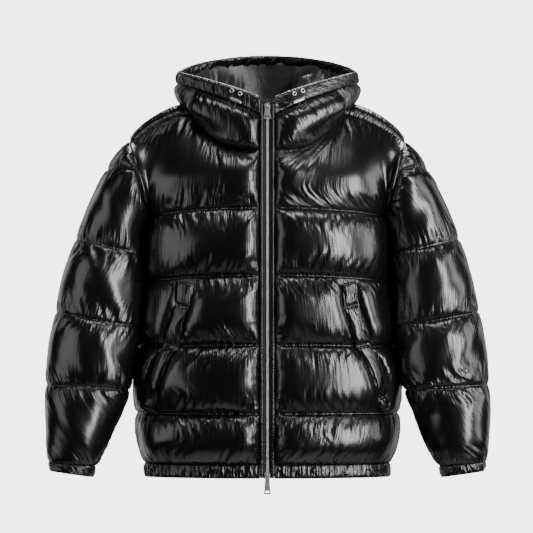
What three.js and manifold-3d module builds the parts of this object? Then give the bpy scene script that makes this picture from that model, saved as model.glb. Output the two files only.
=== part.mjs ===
// A hooded puffer jacket in its worn shape, with no wearer. Millimetres, +Z up, front towards -Y.
// The origin is the middle of the neck at shoulder height, where a wearer holds the jacket up.
// The wearer's right side is modelled, at -X, and the left side is its mirror image.
import * as THREE from 'three';
import { mergeVertices } from 'three/addons/utils/BufferGeometryUtils.js';
import Module from 'manifold-3d';

const wasm = await Module();
wasm.setup();

const vector = (x, y, z) => new THREE.Vector3(x, y, z);

// Cloth
const WALL = 2.6; // shell, lining and seam allowance where a seam holds them flat
const SEAM_GAP = 0.4; // clearance between two pieces at a seam
const ARMHOLE_GAP = 0.7; // the body's share of the clearance at the armhole
const PLACKET_EDGE = 14; // from the centre front to the fronts' edges
const SECTION_POWER = 2.4; // superellipse power of the body's sections
const SLEEVE_POWER = 2.15; // and of the sleeves'

// How far the quilted channels swell, at their middles
const BODY_PUFF = { middle: 25, side: 4.5 };
const SLEEVE_PUFF = { face: 15, outer: 4, inner: 1.5 };
const HOOD_PUFF = { collar: 24, side: 4, back: 7, rim: 4.5 };
const STRIP_PUFF = 12;
const PUFF_POWER = 0.55; // under 1 gives full channels with steep sides at the seams
const ROLL = { placket: 42, stripEnd: 60, collarEnd: 34 }; // how wide a channel's rounding is at its ends

// Body seams from the hem band up: heights at the centre and side, and the section's reach
const BODY_SEAMS = [
  { centreZ: -673, sideZ: -671, halfWidth: 229, frontY: -106, backY: 92, sideY: 18 },
  { centreZ: -578, sideZ: -577, halfWidth: 244, frontY: -120, backY: 104, sideY: 22 },
  { centreZ: -450, sideZ: -454, halfWidth: 238, frontY: -123, backY: 102, sideY: 22 },
  { centreZ: -320, sideZ: -332, halfWidth: 228, frontY: -121, backY: 100, sideY: 16 },
  { centreZ: -195, sideZ: -210, halfWidth: 224, frontY: -118, backY: 102, sideY: 8 },
];
const CHEST = BODY_SEAMS.length - 1;
const TOP = BODY_SEAMS.length;

// Hood and collar rings from the neck seam to the rim; vee is how sharply the front dips to the zip
const HOOD_RINGS = [
  { halfWidth: 138, frontY: -104, backY: 90, frontZ: -87, sideZ: -3, backZ: 8, vee: 0 },
  { halfWidth: 151, frontY: -104.5, backY: 120, frontZ: -76, sideZ: 11, backZ: 0, vee: 0.15 },
  { halfWidth: 164, frontY: -104, backY: 160, frontZ: -62, sideZ: 18, backZ: -44, vee: 0.4 },
  { halfWidth: 171, frontY: -103, backY: 186, frontZ: -47, sideZ: 27, backZ: -8, vee: 0.75 },
  { halfWidth: 169, frontY: -100, backY: 176, frontZ: -32, sideZ: 38, backZ: 62, vee: 1 },
  { halfWidth: 166, frontY: -97, backY: 158, frontZ: 4, sideZ: 60, backZ: 94, vee: 1 },
];
const BAND = HOOD_RINGS.length - 2;
const RIM = HOOD_RINGS.length - 1;
const COLLAR_END = 74; // degrees round the neck from the zip to the collar's end at the shoulder
const COLLAR_REST = 0.1; // its share of swelling left below, where it rests on the yoke at the shoulder
const UNDER_COLLAR = { start: 0.5, share: 0.45 }; // the yoke's upper part swells less below the collar
const HOOD_BACK = 150; // degrees from the zip to the seam between the hood's side and its centre panel
const HOOD_ROLL = 0.2; // how much of a hood panel's width its rounding takes at each end
const NECK_RISE = 0.2; // how far the neck's walls tip up at the sides
const RING_POWER = { round: 4, vee: 0.75, back: 1.3 }; // how a ring's height changes round the neck

// Sleeve seams from the armhole down: outer and inner ends as seen from the front
const SLEEVE_SEAMS = [
  { outerX: -257, outerZ: -70, innerX: -224, innerZ: -210, halfDepth: 86, midY: 8 },
  { outerX: -299, outerZ: -123, innerX: -228, innerZ: -219, halfDepth: 82, midY: 4 },
  { outerX: -357, outerZ: -253, innerX: -239, innerZ: -281, halfDepth: 72, midY: -8 },
  { outerX: -394, outerZ: -389, innerX: -246, innerZ: -417, halfDepth: 70, midY: -26 },
  { outerX: -412, outerZ: -524, innerX: -265, innerZ: -532, halfDepth: 66, midY: -40 },
  { outerX: -408, outerZ: -669, innerX: -321, innerZ: -676, halfDepth: 42, midY: -50 },
];
const CUFF_END = { outerX: -404, outerZ: -686, innerX: -325, innerZ: -697, halfDepth: 39, midY: -51 };
const WRIST = SLEEVE_SEAMS.length - 1;
const CAP_SEAM_Z = -124; // the cap's quilting seam runs level round the sleeve to the armhole
const CAP_SEAM_LEAST = 0.05; // where it has met the armhole it keeps this share of its row
const STRIP_HALF_ANGLE = 14; // the shoulder strip's share of the armhole, each side of its top
const SHOULDER_ARCH = 9; // the shoulder line bows up by this much between neck and armhole

// Gathered bands
const HEM_BAND = { depth: 26, thickness: 4.5, waves: 38, waveDepth: 1.6, swell: 2.5 };
const CUFF_BAND = { thickness: 4, waves: 16, waveDepth: 1.4, swell: 2 };
const RIM_BAND = { waves: 30, waveDepth: 1.3 };
const SAMPLES_PER_WAVE = 3;
const BAND_ROWS = [0, 0.5, 1];
const BAND_EDGE_WAVE = 0.45; // the waves' share of their depth at a band's edges

// Zip, with its sizes from the centre front outwards and from the cloth's face forwards
const CHAIN = { halfWidth: 3, front: 0.6, back: -2.2 };
const TAPE = { inner: 3.4, outer: 13.6, front: -0.6, back: -1.8 };
const PIPING = { inner: 8, outer: 13.4, front: 4.2, back: -0.2, sides: 5 };
const ZIP_TOP = 1;
const ZIP_ENDS = { tape: 1, chain: 4, piping: 0.5, pipingOver: 1 }; // how far each stops from the zip's ends
const ZIP_LEAST_STEP = 2; // the least height between two of a zip strip's sections
const SLIDER = { width: 11.5, length: 14, back: 0.9, thickness: 1.8, topZ: -6, bottomZ: -692 };
const SLIDER_RISE = 0.4; // the share of its length above the pull's axis
const SLIDER_SHAPE = { crown: 0.6, foot: 0.7, shoulder: 4, taper: 3 };
const BRIDGE = { inner: 1.3, outer: 2.6, standOff: 1.4, halfWidth: 1, segments: 8 };
const TAB_THICKNESS = 1.6;
const TAB_CHAMFER = 1.2;
const TAB_EYE = { halfWidth: 1.6, end: 3.4, rim: 2 };
const TOP_TAB = { neck: 8.5, foot: 14.6, length: 23, slotHalf: 4.4, slotTop: 17.6, slotEnd: 20.2 };
const BOTTOM_TAB = { neck: 7.5, foot: 12.5, length: 36, slotHalf: 3.6, slotTop: 29.4, slotEnd: 33 };

// Pocket welts, between the second and the fourth seam, as shares of the front's width
const WELT = { topSeam: 3, bottomSeam: 1, topIn: 0.33, topOut: 0.42, bottomIn: 0.56, bottomOut: 0.66 };
const WELT_END = 0.1; // each end stops this share of a channel short of its seam
const WELT_LIFT = 0.4;
const WELT_BODY = { edge: 2.2, crown: 4.5, bridge: 8, slack: 0.2 };

// Drawcord fittings at each side of the neck, on the rim band and the collar
const EYELET = { outer: 4.4, inner: 2.3, height: 1.4, lift: 0.5, sides: 10, row: 0.7 };
const EYELET_ANGLES = [17.6, 23.2]; // degrees from the zip
const EYELET_FLAT = { half: 6, fade: 4 }; // the band lies flat this many degrees to each side of them
const CORD_DIAMETER = 2.6;
const CORD_DETAIL = { steps: 20, curveSegments: 4 };
const LOCK = { halfHeight: 3.5, halfDepth: 3, sides: 10 };
const LOCK_ENDS = [vector(-69, -96.3, 9.2), vector(-49, -100.5, 1)];
// The cord's loop, from under the lock, over the collar's top and back up to the lock
const CORD_ROUTE = [
  vector(-60.5, -99.8, 0.6),
  vector(-59.6, -102.8, -1.6),
  vector(-59.7, -106, -4.2),
  vector(-61.2, -109.4, -6.9),
  vector(-64.4, -111.6, -8.4),
  vector(-68, -110.8, -7.4),
  vector(-70.9, -107.6, -4.4),
  vector(-72, -103.8, -1),
  vector(-71.4, -100.6, 1.8),
  vector(-70, -99.4, 3.6),
];

const radians = THREE.MathUtils.degToRad;
const degrees = THREE.MathUtils.radToDeg;
const { lerp, clamp } = THREE.MathUtils;
const clamp01 = (t) => clamp(t, 0, 1);
const ease = (t) => THREE.MathUtils.smoothstep(t, 0, 1);
const flip = (p) => vector(-p.x, p.y, p.z);
const range = (count) => Array.from({ length: count }, (_, i) => i);
const shares = (count) => range(count + 1).map((i) => i / count);
const halfGap = SEAM_GAP / 2;

// A signed power keeps a sine's or cosine's sign, for superellipses
const signedPower = (value, power) => Math.sign(value) * Math.abs(value) ** power;

// One row of a table of sections at a fractional place, smooth through the given rows
function sectionAt(table, place) {
  const last = table.length - 1;
  const row = Math.min(Math.floor(clamp(place, 0, last)), last - 1);
  const t = clamp(place, 0, last) - row;
  const before = table[Math.max(row - 1, 0)];
  const after = table[Math.min(row + 2, last)];
  const section = {};
  for (const name of Object.keys(table[row])) {
    const a = table[row][name];
    const b = table[row + 1][name];
    const slopeA = (b - before[name]) / (row > 0 ? 2 : 1);
    const slopeB = (after[name] - a) / (row + 2 <= last ? 2 : 1);
    const cubic = 3 * t ** 2 - 2 * t ** 3;
    section[name] = lerp(a, b, cubic) + (t ** 3 - 2 * t ** 2 + t) * slopeA + (t ** 3 - t ** 2) * slopeB;
  }
  return section;
}

// Turns every face outward, by the sign of the enclosed volume
function closedGeometry(positions, index) {
  const at = (i) => vector(positions[3 * i], positions[3 * i + 1], positions[3 * i + 2]);
  let volume = 0;
  for (let i = 0; i < index.length; i += 3) {
    volume += at(index[i]).dot(at(index[i + 1]).cross(at(index[i + 2])));
  }
  if (volume < 0) index.reverse();
  const geometry = new THREE.BufferGeometry();
  geometry.setAttribute('position', new THREE.Float32BufferAttribute(positions, 3));
  geometry.setIndex(index);
  geometry.computeVertexNormals();
  return geometry;
}

// A closed wall between two matching grids of points; a tube's columns join up round it
function wallGeometry({ outer, inner }, isTube = false) {
  const rows = outer.length;
  const columns = outer[0].length;
  const positions = [...outer.flat(), ...inner.flat()].flatMap((p) => [p.x, p.y, p.z]);
  const out = (r, c) => r * columns + (c % columns);
  const back = (r, c) => rows * columns + out(r, c);
  const index = [];
  const quad = (a, b, c, d) => index.push(a, b, c, a, c, d);
  const cells = isTube ? columns : columns - 1;
  const top = rows - 1;
  for (const c of range(cells)) {
    for (const r of range(top)) {
      quad(out(r, c), out(r, c + 1), out(r + 1, c + 1), out(r + 1, c));
      quad(back(r, c), back(r + 1, c), back(r + 1, c + 1), back(r, c + 1));
    }
    quad(out(0, c), back(0, c), back(0, c + 1), out(0, c + 1));
    quad(out(top, c), out(top, c + 1), back(top, c + 1), back(top, c));
  }
  for (const r of isTube ? [] : range(top)) {
    quad(out(r, 0), out(r + 1, 0), back(r + 1, 0), back(r, 0));
    quad(out(r, cells), back(r, cells), back(r + 1, cells), out(r + 1, cells));
  }
  return closedGeometry(positions, index);
}

// A closed bar through matching convex loops of points, with a flat cap at each end
function barGeometry(loops) {
  const count = loops[0].length;
  const positions = loops.flat().flatMap((p) => [p.x, p.y, p.z]);
  const index = [];
  const at = (r, c) => r * count + (c % count);
  for (const r of range(loops.length - 1)) {
    for (const c of range(count)) {
      index.push(at(r, c), at(r, c + 1), at(r + 1, c + 1), at(r, c), at(r + 1, c + 1), at(r + 1, c));
    }
  }
  const end = loops.length - 1;
  for (const c of range(count - 2)) {
    index.push(at(0, 0), at(0, c + 2), at(0, c + 1));
    index.push(at(end, 0), at(end, c + 1), at(end, c + 2));
  }
  return closedGeometry(positions, index);
}

// The mirror image of a closed geometry, for the other side of the jacket
function mirrored(geometry) {
  const positions = Array.from(geometry.getAttribute('position').array);
  for (let i = 0; i < positions.length; i += 3) positions[i] *= -1;
  const index = geometry.index ? Array.from(geometry.index.array) : range(positions.length / 3);
  return closedGeometry(positions, index);
}

// The outward unit normal of a surface at(u, v), by differences inside its limits
const NORMAL_STEP = 0.004;
function surfaceNormal(at, u, v, vEnd) {
  const across = at(Math.min(u + NORMAL_STEP, 1), v).sub(at(Math.max(u - NORMAL_STEP, 0), v));
  const along = at(u, Math.min(v + NORMAL_STEP, vEnd)).sub(at(u, Math.max(v - NORMAL_STEP, 0)));
  return along.cross(across).normalize();
}

// A channel's swelling, from 0 at one seam through 1 to 0 at the next
const channel = (t) => (4 * clamp01(t) * (1 - clamp01(t))) ** PUFF_POWER;
// The yoke's channel rises steeply from the chest seam and falls softly to the neck and shoulder
const yokeChannel = (t) => (t < 0.5 ? channel(t) : 1 - (2 * t - 1) ** 2);
// A quarter-round roll, from 0 at an edge to 1 at the given width from it
const roll = (distance, width) => Math.sqrt(1 - (1 - clamp01(distance / width)) ** 2);
// The place inside its channel of a row number that counts seams
const channelShare = (v, last) => v - Math.min(Math.floor(v), last - 1);

// Grid rows that meet every seam and crowd towards it, where a channel curves most
const CHANNEL_ROWS = [0, 0.14, 0.5, 0.86];
const channelRows = (seam) => CHANNEL_ROWS.map((t) => seam + t);
const seamRows = (channels) => [...range(channels).flatMap(channelRows), channels];
// The yoke is taller and meets the round armhole, so it has more rows
const YOKE_ROWS = [0, 0.09, 0.24, 0.4, 0.58, 0.76, 0.91, 1];
const bodyRows = [...seamRows(CHEST).slice(0, -1), ...YOKE_ROWS.map((t) => CHEST + t)];

// Sleeve sections: 0 degrees is the outer side, 90 the front, 180 the inner side
function sleevePoint(angle, place, table = SLEEVE_SEAMS) {
  const s = sectionAt(table, place);
  const along = signedPower(Math.cos(radians(angle)), 2 / SLEEVE_POWER);
  const forward = signedPower(Math.sin(radians(angle)), 2 / SLEEVE_POWER);
  return vector(
    (s.outerX + s.innerX) / 2 + along * (s.outerX - s.innerX) / 2,
    s.midY - s.halfDepth * forward,
    (s.outerZ + s.innerZ) / 2 + along * (s.outerZ - s.innerZ) / 2,
  );
}
const sleeveMiddle = (place) => sleevePoint(0, place).add(sleevePoint(180, place)).multiplyScalar(0.5);
const armholePoint = (angle) => sleevePoint(angle, 0);
const armholeNormal = (angle) => armholePoint(angle).sub(sleeveMiddle(0)).normalize();

// Body sections: 0 degrees is the centre front, 90 the wearer's right side, 180 the centre back
function bodyPoint(angle, place) {
  const s = sectionAt(BODY_SEAMS, place);
  const sine = Math.sin(radians(angle));
  const cosine = Math.cos(radians(angle));
  const reach = (cosine > 0 ? s.frontY : s.backY) - s.sideY;
  return vector(
    -s.halfWidth * signedPower(sine, 2 / SECTION_POWER),
    s.sideY + reach * Math.abs(cosine) ** (2 / SECTION_POWER),
    lerp(s.centreZ, s.sideZ, sine ** 2),
  );
}

// Hood and collar rings, round from the zip: 90 degrees is the wearer's right side
function hoodPoint(angle, place) {
  const s = sectionAt(HOOD_RINGS, place);
  const sine = Math.abs(Math.sin(radians(angle)));
  const cosine = Math.cos(radians(angle));
  const away = Math.abs(cosine);
  const z = cosine > 0
    ? lerp(s.frontZ, s.sideZ, lerp(sine ** RING_POWER.round, sine ** RING_POWER.vee, s.vee))
    : lerp(s.sideZ, s.backZ, away ** RING_POWER.back);
  return vector(-s.halfWidth * Math.sin(radians(angle)), (cosine > 0 ? s.frontY : s.backY) * away, z);
}
const hoodEdgeAngle = (place) => degrees(Math.asin(PLACKET_EDGE / sectionAt(HOOD_RINGS, place).halfWidth));
const NECK_EDGE = hoodEdgeAngle(0);
// Both walls at the band seam lie along the middle of the band's own direction
const bandSurface = (u, v) => hoodPoint(360 * u, lerp(BAND, RIM, v));
const bandNormal = (angle) => surfaceNormal(bandSurface, angle / 360, 0.5, 1);

// Where pieces meet at the neck, both walls lie along the same direction
function neckNormal(angle) {
  const side = Math.abs(Math.sin(radians(angle)));
  return vector(-Math.sin(radians(angle)), -Math.cos(radians(angle)), NECK_RISE * side).normalize();
}

// The shoulder's front and back seams, from the neck (0) to the armhole (1), and their walls' direction
function shoulderSeam(t, isFront) {
  const neck = hoodPoint(isFront ? COLLAR_END : 180 - COLLAR_END, 0);
  const end = armholePoint(isFront ? STRIP_HALF_ANGLE : -STRIP_HALF_ANGLE);
  return neck.lerp(end, t).add(vector(0, 0, SHOULDER_ARCH * 4 * t * (1 - t)));
}
const SHOULDER_WALL = vector(-0.25, 0.5, 0.8).normalize();
const shoulderNormal = (isFront) => SHOULDER_WALL.clone().multiply(vector(1, isFront ? -1 : 1, 1));

// A point of the patch between four edge curves: bottom and top run along u, left and right along v.
// The side edges' own curves fade into the patch over this power of the way across.
function patchPoint(u, v, { bottom, top, left, right, fade }) {
  const p = bottom(u).lerp(top(u), v);
  const bend = (edge, end) => edge(v).sub(bottom(end).lerp(top(end), v));
  return p.addScaledVector(bend(left, 0), (1 - u) ** fade).addScaledVector(bend(right, 1), u ** fade);
}

// A panel's two grids of points: the outside swells, the inside is plain, and edges keep their place
function panelGrids({ rows, columns, at, puff, vEnd, edgeNormal = () => null, shift = () => null }) {
  const outer = [];
  const inner = [];
  const normals = [];
  for (const v of rows) {
    const line = columns(v).map((u) => {
      const normal = edgeNormal(u, v) || surfaceNormal(at, u, v, vEnd);
      const p = at(u, v).add(shift(u, v) || vector(0, 0, 0));
      const face = p.clone().addScaledVector(normal, puff(u, v));
      return { normal, face, lining: p.addScaledVector(normal, -WALL) };
    });
    outer.push(line.map((p) => p.face));
    inner.push(line.map((p) => p.lining));
    normals.push(line.map((p) => p.normal));
  }
  return { outer, inner, normals };
}

// Right front: u runs from the placket (0) to the side seam or armhole (1), v counts the seams
const FRONT_NECK = 0.5; // the share of the top edge that is neck; the rest is shoulder
const frontLine = (u, v) => {
  const start = degrees(Math.asin((PLACKET_EDGE / sectionAt(BODY_SEAMS, v).halfWidth) ** (SECTION_POWER / 2)));
  return bodyPoint(lerp(start, 90, u), v);
};
const frontYoke = {
  bottom: (u) => frontLine(u, CHEST),
  top: (u) => (u <= FRONT_NECK
    ? hoodPoint(lerp(NECK_EDGE, COLLAR_END, u / FRONT_NECK), 0)
    : shoulderSeam((u - FRONT_NECK) / (1 - FRONT_NECK), true)),
  left: (v) => frontLine(0, CHEST).lerp(hoodPoint(NECK_EDGE, 0), v),
  right: (v) => armholePoint(lerp(180, STRIP_HALF_ANGLE, v)),
  fade: 1.5,
};
const frontPoint = (u, v) => (v <= CHEST ? frontLine(u, v) : patchPoint(u, v - CHEST, frontYoke));
function bodyPuff(width, v) {
  const share = channelShare(v, TOP);
  const height = lerp(BODY_PUFF.middle, BODY_PUFF.side, ease((width - 0.5) / 0.5));
  return height * (v < CHEST ? channel(share) : yokeChannel(share));
}
const frontPuff = (u, v) => {
  const underCollar = v > CHEST + UNDER_COLLAR.start ? lerp(1, UNDER_COLLAR.share, ease(u / FRONT_NECK)) : 1;
  return bodyPuff(u, v) * underCollar * roll(-PLACKET_EDGE - frontPoint(u, v).x, ROLL.placket);
};

// The welt's edges are two of the front's columns, so that it lies on the same facets. Above it the
// columns spread until the outer one meets the corner between neck and shoulder.
const WELT_SPREAD = 0.1;
function weltColumns(v) {
  const t = clamp01((v - WELT.bottomSeam) / (WELT.topSeam - WELT.bottomSeam));
  const rise = clamp01((v - WELT.topSeam) / (TOP - WELT.topSeam));
  const outside = lerp(lerp(WELT.bottomOut, WELT.topOut, t), FRONT_NECK, rise);
  return [lerp(lerp(WELT.bottomIn, WELT.topIn, t), outside - WELT_SPREAD, rise), outside];
}
const COLUMNS_BEFORE = [0, 0.09, 0.24, 0.46, 0.73]; // shares of the way from the placket to the welt
const COLUMNS_AFTER = [0.3, 0.66, 1]; // and from the welt to the side
const WELT_COLUMN = COLUMNS_BEFORE.length; // the number of the column at the welt's inner edge
function frontColumns(v) {
  const [inside, outside] = weltColumns(v);
  const before = COLUMNS_BEFORE.map((share) => share * inside);
  const after = COLUMNS_AFTER.map((share) => lerp(outside, 1, share));
  return [...before, inside, (inside + outside) / 2, outside, ...after];
}
const frontGrids = panelGrids({
  rows: bodyRows,
  columns: frontColumns,
  at: frontPoint,
  puff: frontPuff,
  vEnd: TOP,
  edgeNormal: (u, v) => {
    if (u === 0) return vector(0, -1, 0);
    if (u === 1) return v > CHEST ? armholeNormal(lerp(180, STRIP_HALF_ANGLE, v - CHEST)) : vector(-1, 0, 0);
    if (v < TOP) return null;
    return u <= FRONT_NECK ? neckNormal(lerp(NECK_EDGE, COLLAR_END, u / FRONT_NECK)) : shoulderNormal(true);
  },
  shift: (u, v) => {
    if (u === 1 && v > CHEST) return vector(ARMHOLE_GAP, v === TOP ? -halfGap : 0, 0);
    if (u === 1) return vector(0, -halfGap, 0);
    if (v === TOP) return u <= FRONT_NECK ? vector(0, 0, -halfGap) : vector(0, -SEAM_GAP, -halfGap);
    return v === 0 ? vector(0, 0, halfGap) : null;
  },
});

// Back: u runs from the wearer's right side (0) to the left (1), v counts the seams
const BACK_SHOULDER = 0.34; // each shoulder's share of the top edge
const backYoke = {
  bottom: (u) => bodyPoint(lerp(90, 270, u), CHEST),
  top: (u) => {
    if (u < BACK_SHOULDER) return shoulderSeam(1 - u / BACK_SHOULDER, false);
    if (u > 1 - BACK_SHOULDER) return flip(shoulderSeam(1 - (1 - u) / BACK_SHOULDER, false));
    const t = (u - BACK_SHOULDER) / (1 - 2 * BACK_SHOULDER);
    return hoodPoint(lerp(180 - COLLAR_END, 180 + COLLAR_END, t), 0);
  },
  left: (v) => armholePoint(lerp(-180, -STRIP_HALF_ANGLE, v)),
  right: (v) => flip(armholePoint(lerp(-180, -STRIP_HALF_ANGLE, v))),
  fade: 4,
};
const backPoint = (u, v) => (v <= CHEST
  ? bodyPoint(lerp(90, 270, u), v)
  : patchPoint(u, v - CHEST, backYoke));
const HALF_BACK_COLUMNS = [0, 0.06, 0.14, 0.24, BACK_SHOULDER, 0.388, 0.435];
const backColumns = [...HALF_BACK_COLUMNS, 0.5, ...HALF_BACK_COLUMNS.map((u) => 1 - u).reverse()];
const backGrids = panelGrids({
  rows: bodyRows,
  columns: () => backColumns,
  at: backPoint,
  puff: (u, v) => bodyPuff(Math.abs(2 * u - 1), v),
  vEnd: TOP,
  edgeNormal: (u, v) => {
    const isLeft = u > 0.5;
    if (u === 0 || u === 1) {
      if (v <= CHEST) return vector(isLeft ? 1 : -1, 0, 0);
      const normal = armholeNormal(lerp(-180, -STRIP_HALF_ANGLE, v - CHEST));
      return isLeft ? flip(normal) : normal;
    }
    if (v < TOP) return null;
    if (Math.abs(u - 0.5) <= 0.5 - BACK_SHOULDER) {
      const t = (u - BACK_SHOULDER) / (1 - 2 * BACK_SHOULDER);
      return neckNormal(lerp(180 - COLLAR_END, 180 + COLLAR_END, t));
    }
    return isLeft ? flip(shoulderNormal(false)) : shoulderNormal(false);
  },
  shift: (u, v) => {
    const inward = u > 0.5 ? -ARMHOLE_GAP : ARMHOLE_GAP;
    if ((u === 0 || u === 1) && v > CHEST) return vector(inward, v === TOP ? halfGap : 0, 0);
    if (u === 0 || u === 1) return vector(0, halfGap, 0);
    const isNeck = Math.abs(u - 0.5) < 0.5 - BACK_SHOULDER;
    if (v === TOP) return vector(0, isNeck ? 0 : SEAM_GAP, -halfGap);
    return v === 0 ? vector(0, 0, halfGap) : null;
  },
});

// Shoulder strip: u runs from the neck (0) to the armhole (1), v from the front seam to the back seam
const stripEdges = {
  bottom: (u) => shoulderSeam(u, true),
  top: (u) => shoulderSeam(u, false),
  left: (v) => hoodPoint(lerp(COLLAR_END, 180 - COLLAR_END, v), 0),
  right: (v) => armholePoint(lerp(STRIP_HALF_ANGLE, -STRIP_HALF_ANGLE, v)),
  fade: 1,
};
const STRIP_ROWS = [0, 0.2, 0.5, 0.8, 1];
const STRIP_COLUMNS = [0, 0.12, 0.3, 0.5, 0.72, 0.9, 1];
const stripPoint = (u, v) => patchPoint(u, v, stripEdges);
const stripLength = shoulderSeam(0, true).distanceTo(shoulderSeam(1, true));
const stripGrids = panelGrids({
  rows: STRIP_ROWS,
  columns: () => STRIP_COLUMNS,
  at: stripPoint,
  puff: (u, v) => STRIP_PUFF * channel(v) * roll(u * stripLength, ROLL.stripEnd) * (u === 1 ? 0 : 1),
  vEnd: 1,
  edgeNormal: (u, v) => {
    if (u === 0) return neckNormal(lerp(COLLAR_END, 180 - COLLAR_END, v));
    if (u === 1) return armholeNormal(lerp(STRIP_HALF_ANGLE, -STRIP_HALF_ANGLE, v));
    return v === 0 || v === 1 ? shoulderNormal(v === 0) : null;
  },
  shift: (u, v) => {
    const along = u === 1 ? halfGap : 0;
    const across = v === 0 ? halfGap : v === 1 ? -halfGap : 0;
    return vector(along, across, u === 0 ? -halfGap : 0);
  },
});

// Sleeve: rows count the seams from the armhole, and the cap's seam runs level across the table's rows
function sleevePlace(angle, row) {
  const top = armholePoint(angle).z;
  const share = clamp((top - CAP_SEAM_Z) / (top - sleevePoint(angle, 1).z), CAP_SEAM_LEAST, 1);
  if (row <= 1) return row * share;
  return row < 2 ? lerp(share, 2, row - 1) : row;
}
const sleeveSurface = (u, v) => sleevePoint(360 * u, sleevePlace(360 * u, v));
function sleevePuff(u, v) {
  const along = Math.cos(2 * Math.PI * u);
  const edge = along > 0 ? SLEEVE_PUFF.outer : SLEEVE_PUFF.inner;
  const capFade = v < 1 ? ease(along) : 1;
  return lerp(SLEEVE_PUFF.face, edge, along ** 2) * channel(channelShare(v, WRIST)) * capFade;
}
const SLEEVE_COLUMNS = 20;
const aroundSleeve = range(SLEEVE_COLUMNS).map((i) => i / SLEEVE_COLUMNS);
const wristMiddle = sleeveMiddle(WRIST);
const wristAxis = wristMiddle.clone().sub(sleeveMiddle(WRIST - 1)).normalize();
const wristNormal = (angle) => sleevePoint(angle, WRIST).sub(wristMiddle).normalize();
const sleeveGrids = { outer: [], inner: [] };
for (const v of seamRows(WRIST)) {
  const line = aroundSleeve.map((u) => {
    const p = sleeveSurface(u, v);
    let normal = surfaceNormal(sleeveSurface, u, v, WRIST);
    if (u === 0) normal = surfaceNormal(sleeveSurface, NORMAL_STEP, v, WRIST);
    if (v === 0) {
      normal = armholeNormal(360 * u);
      p.x -= halfGap;
    }
    if (v === WRIST) {
      normal = wristNormal(360 * u);
      p.addScaledVector(wristAxis, -halfGap);
    }
    const face = p.clone().addScaledVector(normal, sleevePuff(u, v));
    return { face, lining: p.addScaledVector(normal, -WALL) };
  });
  sleeveGrids.outer.push(line.map((p) => p.face));
  sleeveGrids.inner.push(line.map((p) => p.lining));
}

// A gathered band: rows of outer and inner points from one edge (0) to the other (1)
function bandGrids({ count, waves, waveDepth, swell, thickness, at, normalAt, flatAt = () => 1 }) {
  const outer = [];
  const inner = [];
  for (const v of BAND_ROWS) {
    const line = shares(count).map((u) => {
      const wave = waveDepth * Math.cos(2 * Math.PI * waves * u) * flatAt(u);
      const bulge = swell * 4 * v * (1 - v);
      const normal = normalAt(u);
      const face = at(u, v).addScaledVector(normal, wave * (v === 0.5 ? 1 : BAND_EDGE_WAVE) + bulge);
      return { face, lining: at(u, v).addScaledVector(normal, -thickness) };
    });
    outer.push(line.map((p) => p.face));
    inner.push(line.map((p) => p.lining));
  }
  return { outer, inner };
}
const closedLoop = (grids) => ({
  outer: grids.outer.map((row) => row.slice(0, -1)),
  inner: grids.inner.map((row) => row.slice(0, -1)),
});

const cuffGrids = closedLoop(bandGrids({
  ...CUFF_BAND,
  count: CUFF_BAND.waves * SAMPLES_PER_WAVE,
  at: (u, v) => sleevePoint(360 * u, WRIST).lerp(sleevePoint(360 * u, 1, [CUFF_END, CUFF_END]), v)
    .addScaledVector(wristAxis, halfGap),
  normalAt: (u) => wristNormal(360 * u),
}));

// Hem band: from the wearer's right placket edge, round the back, to the left one
const hemStart = degrees(Math.asin((PLACKET_EDGE / BODY_SEAMS[0].halfWidth) ** (SECTION_POWER / 2)));
const hemPoint = (u) => bodyPoint(lerp(hemStart, 360 - hemStart, u), 0);
const hemBandGrids = bandGrids({
  ...HEM_BAND,
  count: HEM_BAND.waves * SAMPLES_PER_WAVE,
  at: (u, v) => hemPoint(u).add(vector(0, 0, -halfGap - HEM_BAND.depth * v)),
  normalAt: (u) => {
    if (u === 0 || u === 1) return vector(0, -1, 0);
    const along = hemPoint(Math.min(u + NORMAL_STEP, 1)).sub(hemPoint(Math.max(u - NORMAL_STEP, 0)));
    return vector(-along.y, along.x, 0).normalize();
  },
});

// Hood and collar panels: u runs round the neck between two angles, v counts rings up to the band seam
const NECK_ROWS = [0, 0.14, 0.32, 0.5, 0.68, 0.86, 1].map((t) => t * BAND);
function hoodPanel({ from, to, columns, puffAt, opensAtZip = false }) {
  const angleAt = (u, v) => lerp(opensAtZip ? hoodEdgeAngle(v) : from, to, u);
  const at = (u, v) => hoodPoint(angleAt(u, v), v);
  return panelGrids({
    rows: NECK_ROWS,
    columns: () => columns,
    at,
    vEnd: BAND,
    puff: (u, v) => puffAt(u, v, at) * channel(v / BAND),
    edgeNormal: (u, v) => {
      if (u === 0 && opensAtZip) return vector(0, -1, 0);
      if (v === BAND) return bandNormal(angleAt(u, v));
      return v === 0 ? neckNormal(angleAt(u, v)) : null;
    },
    shift: (u, v) => {
      const along = at(Math.min(u + NORMAL_STEP, 1), v).sub(at(Math.max(u - NORMAL_STEP, 0), v)).normalize();
      const inset = u === 1 ? -halfGap : u === 0 && !opensAtZip ? halfGap : 0;
      return along.multiplyScalar(inset).add(vector(0, 0, v === 0 ? halfGap : v === BAND ? -SEAM_GAP : 0));
    },
  });
}
const collarGrids = hoodPanel({
  from: NECK_EDGE,
  to: COLLAR_END,
  columns: frontColumns(TOP).filter((u) => u <= FRONT_NECK).map((u) => u / FRONT_NECK),
  opensAtZip: true,
  puffAt: (u, v, at) => {
    const fromZip = roll(-PLACKET_EDGE - at(u, v).x, ROLL.placket);
    const rest = v < BAND / 2 ? lerp(1, COLLAR_REST, u) : 1;
    return HOOD_PUFF.collar * fromZip * rest * roll(at(1, v).distanceTo(at(u, v)), ROLL.collarEnd);
  },
});
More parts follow.
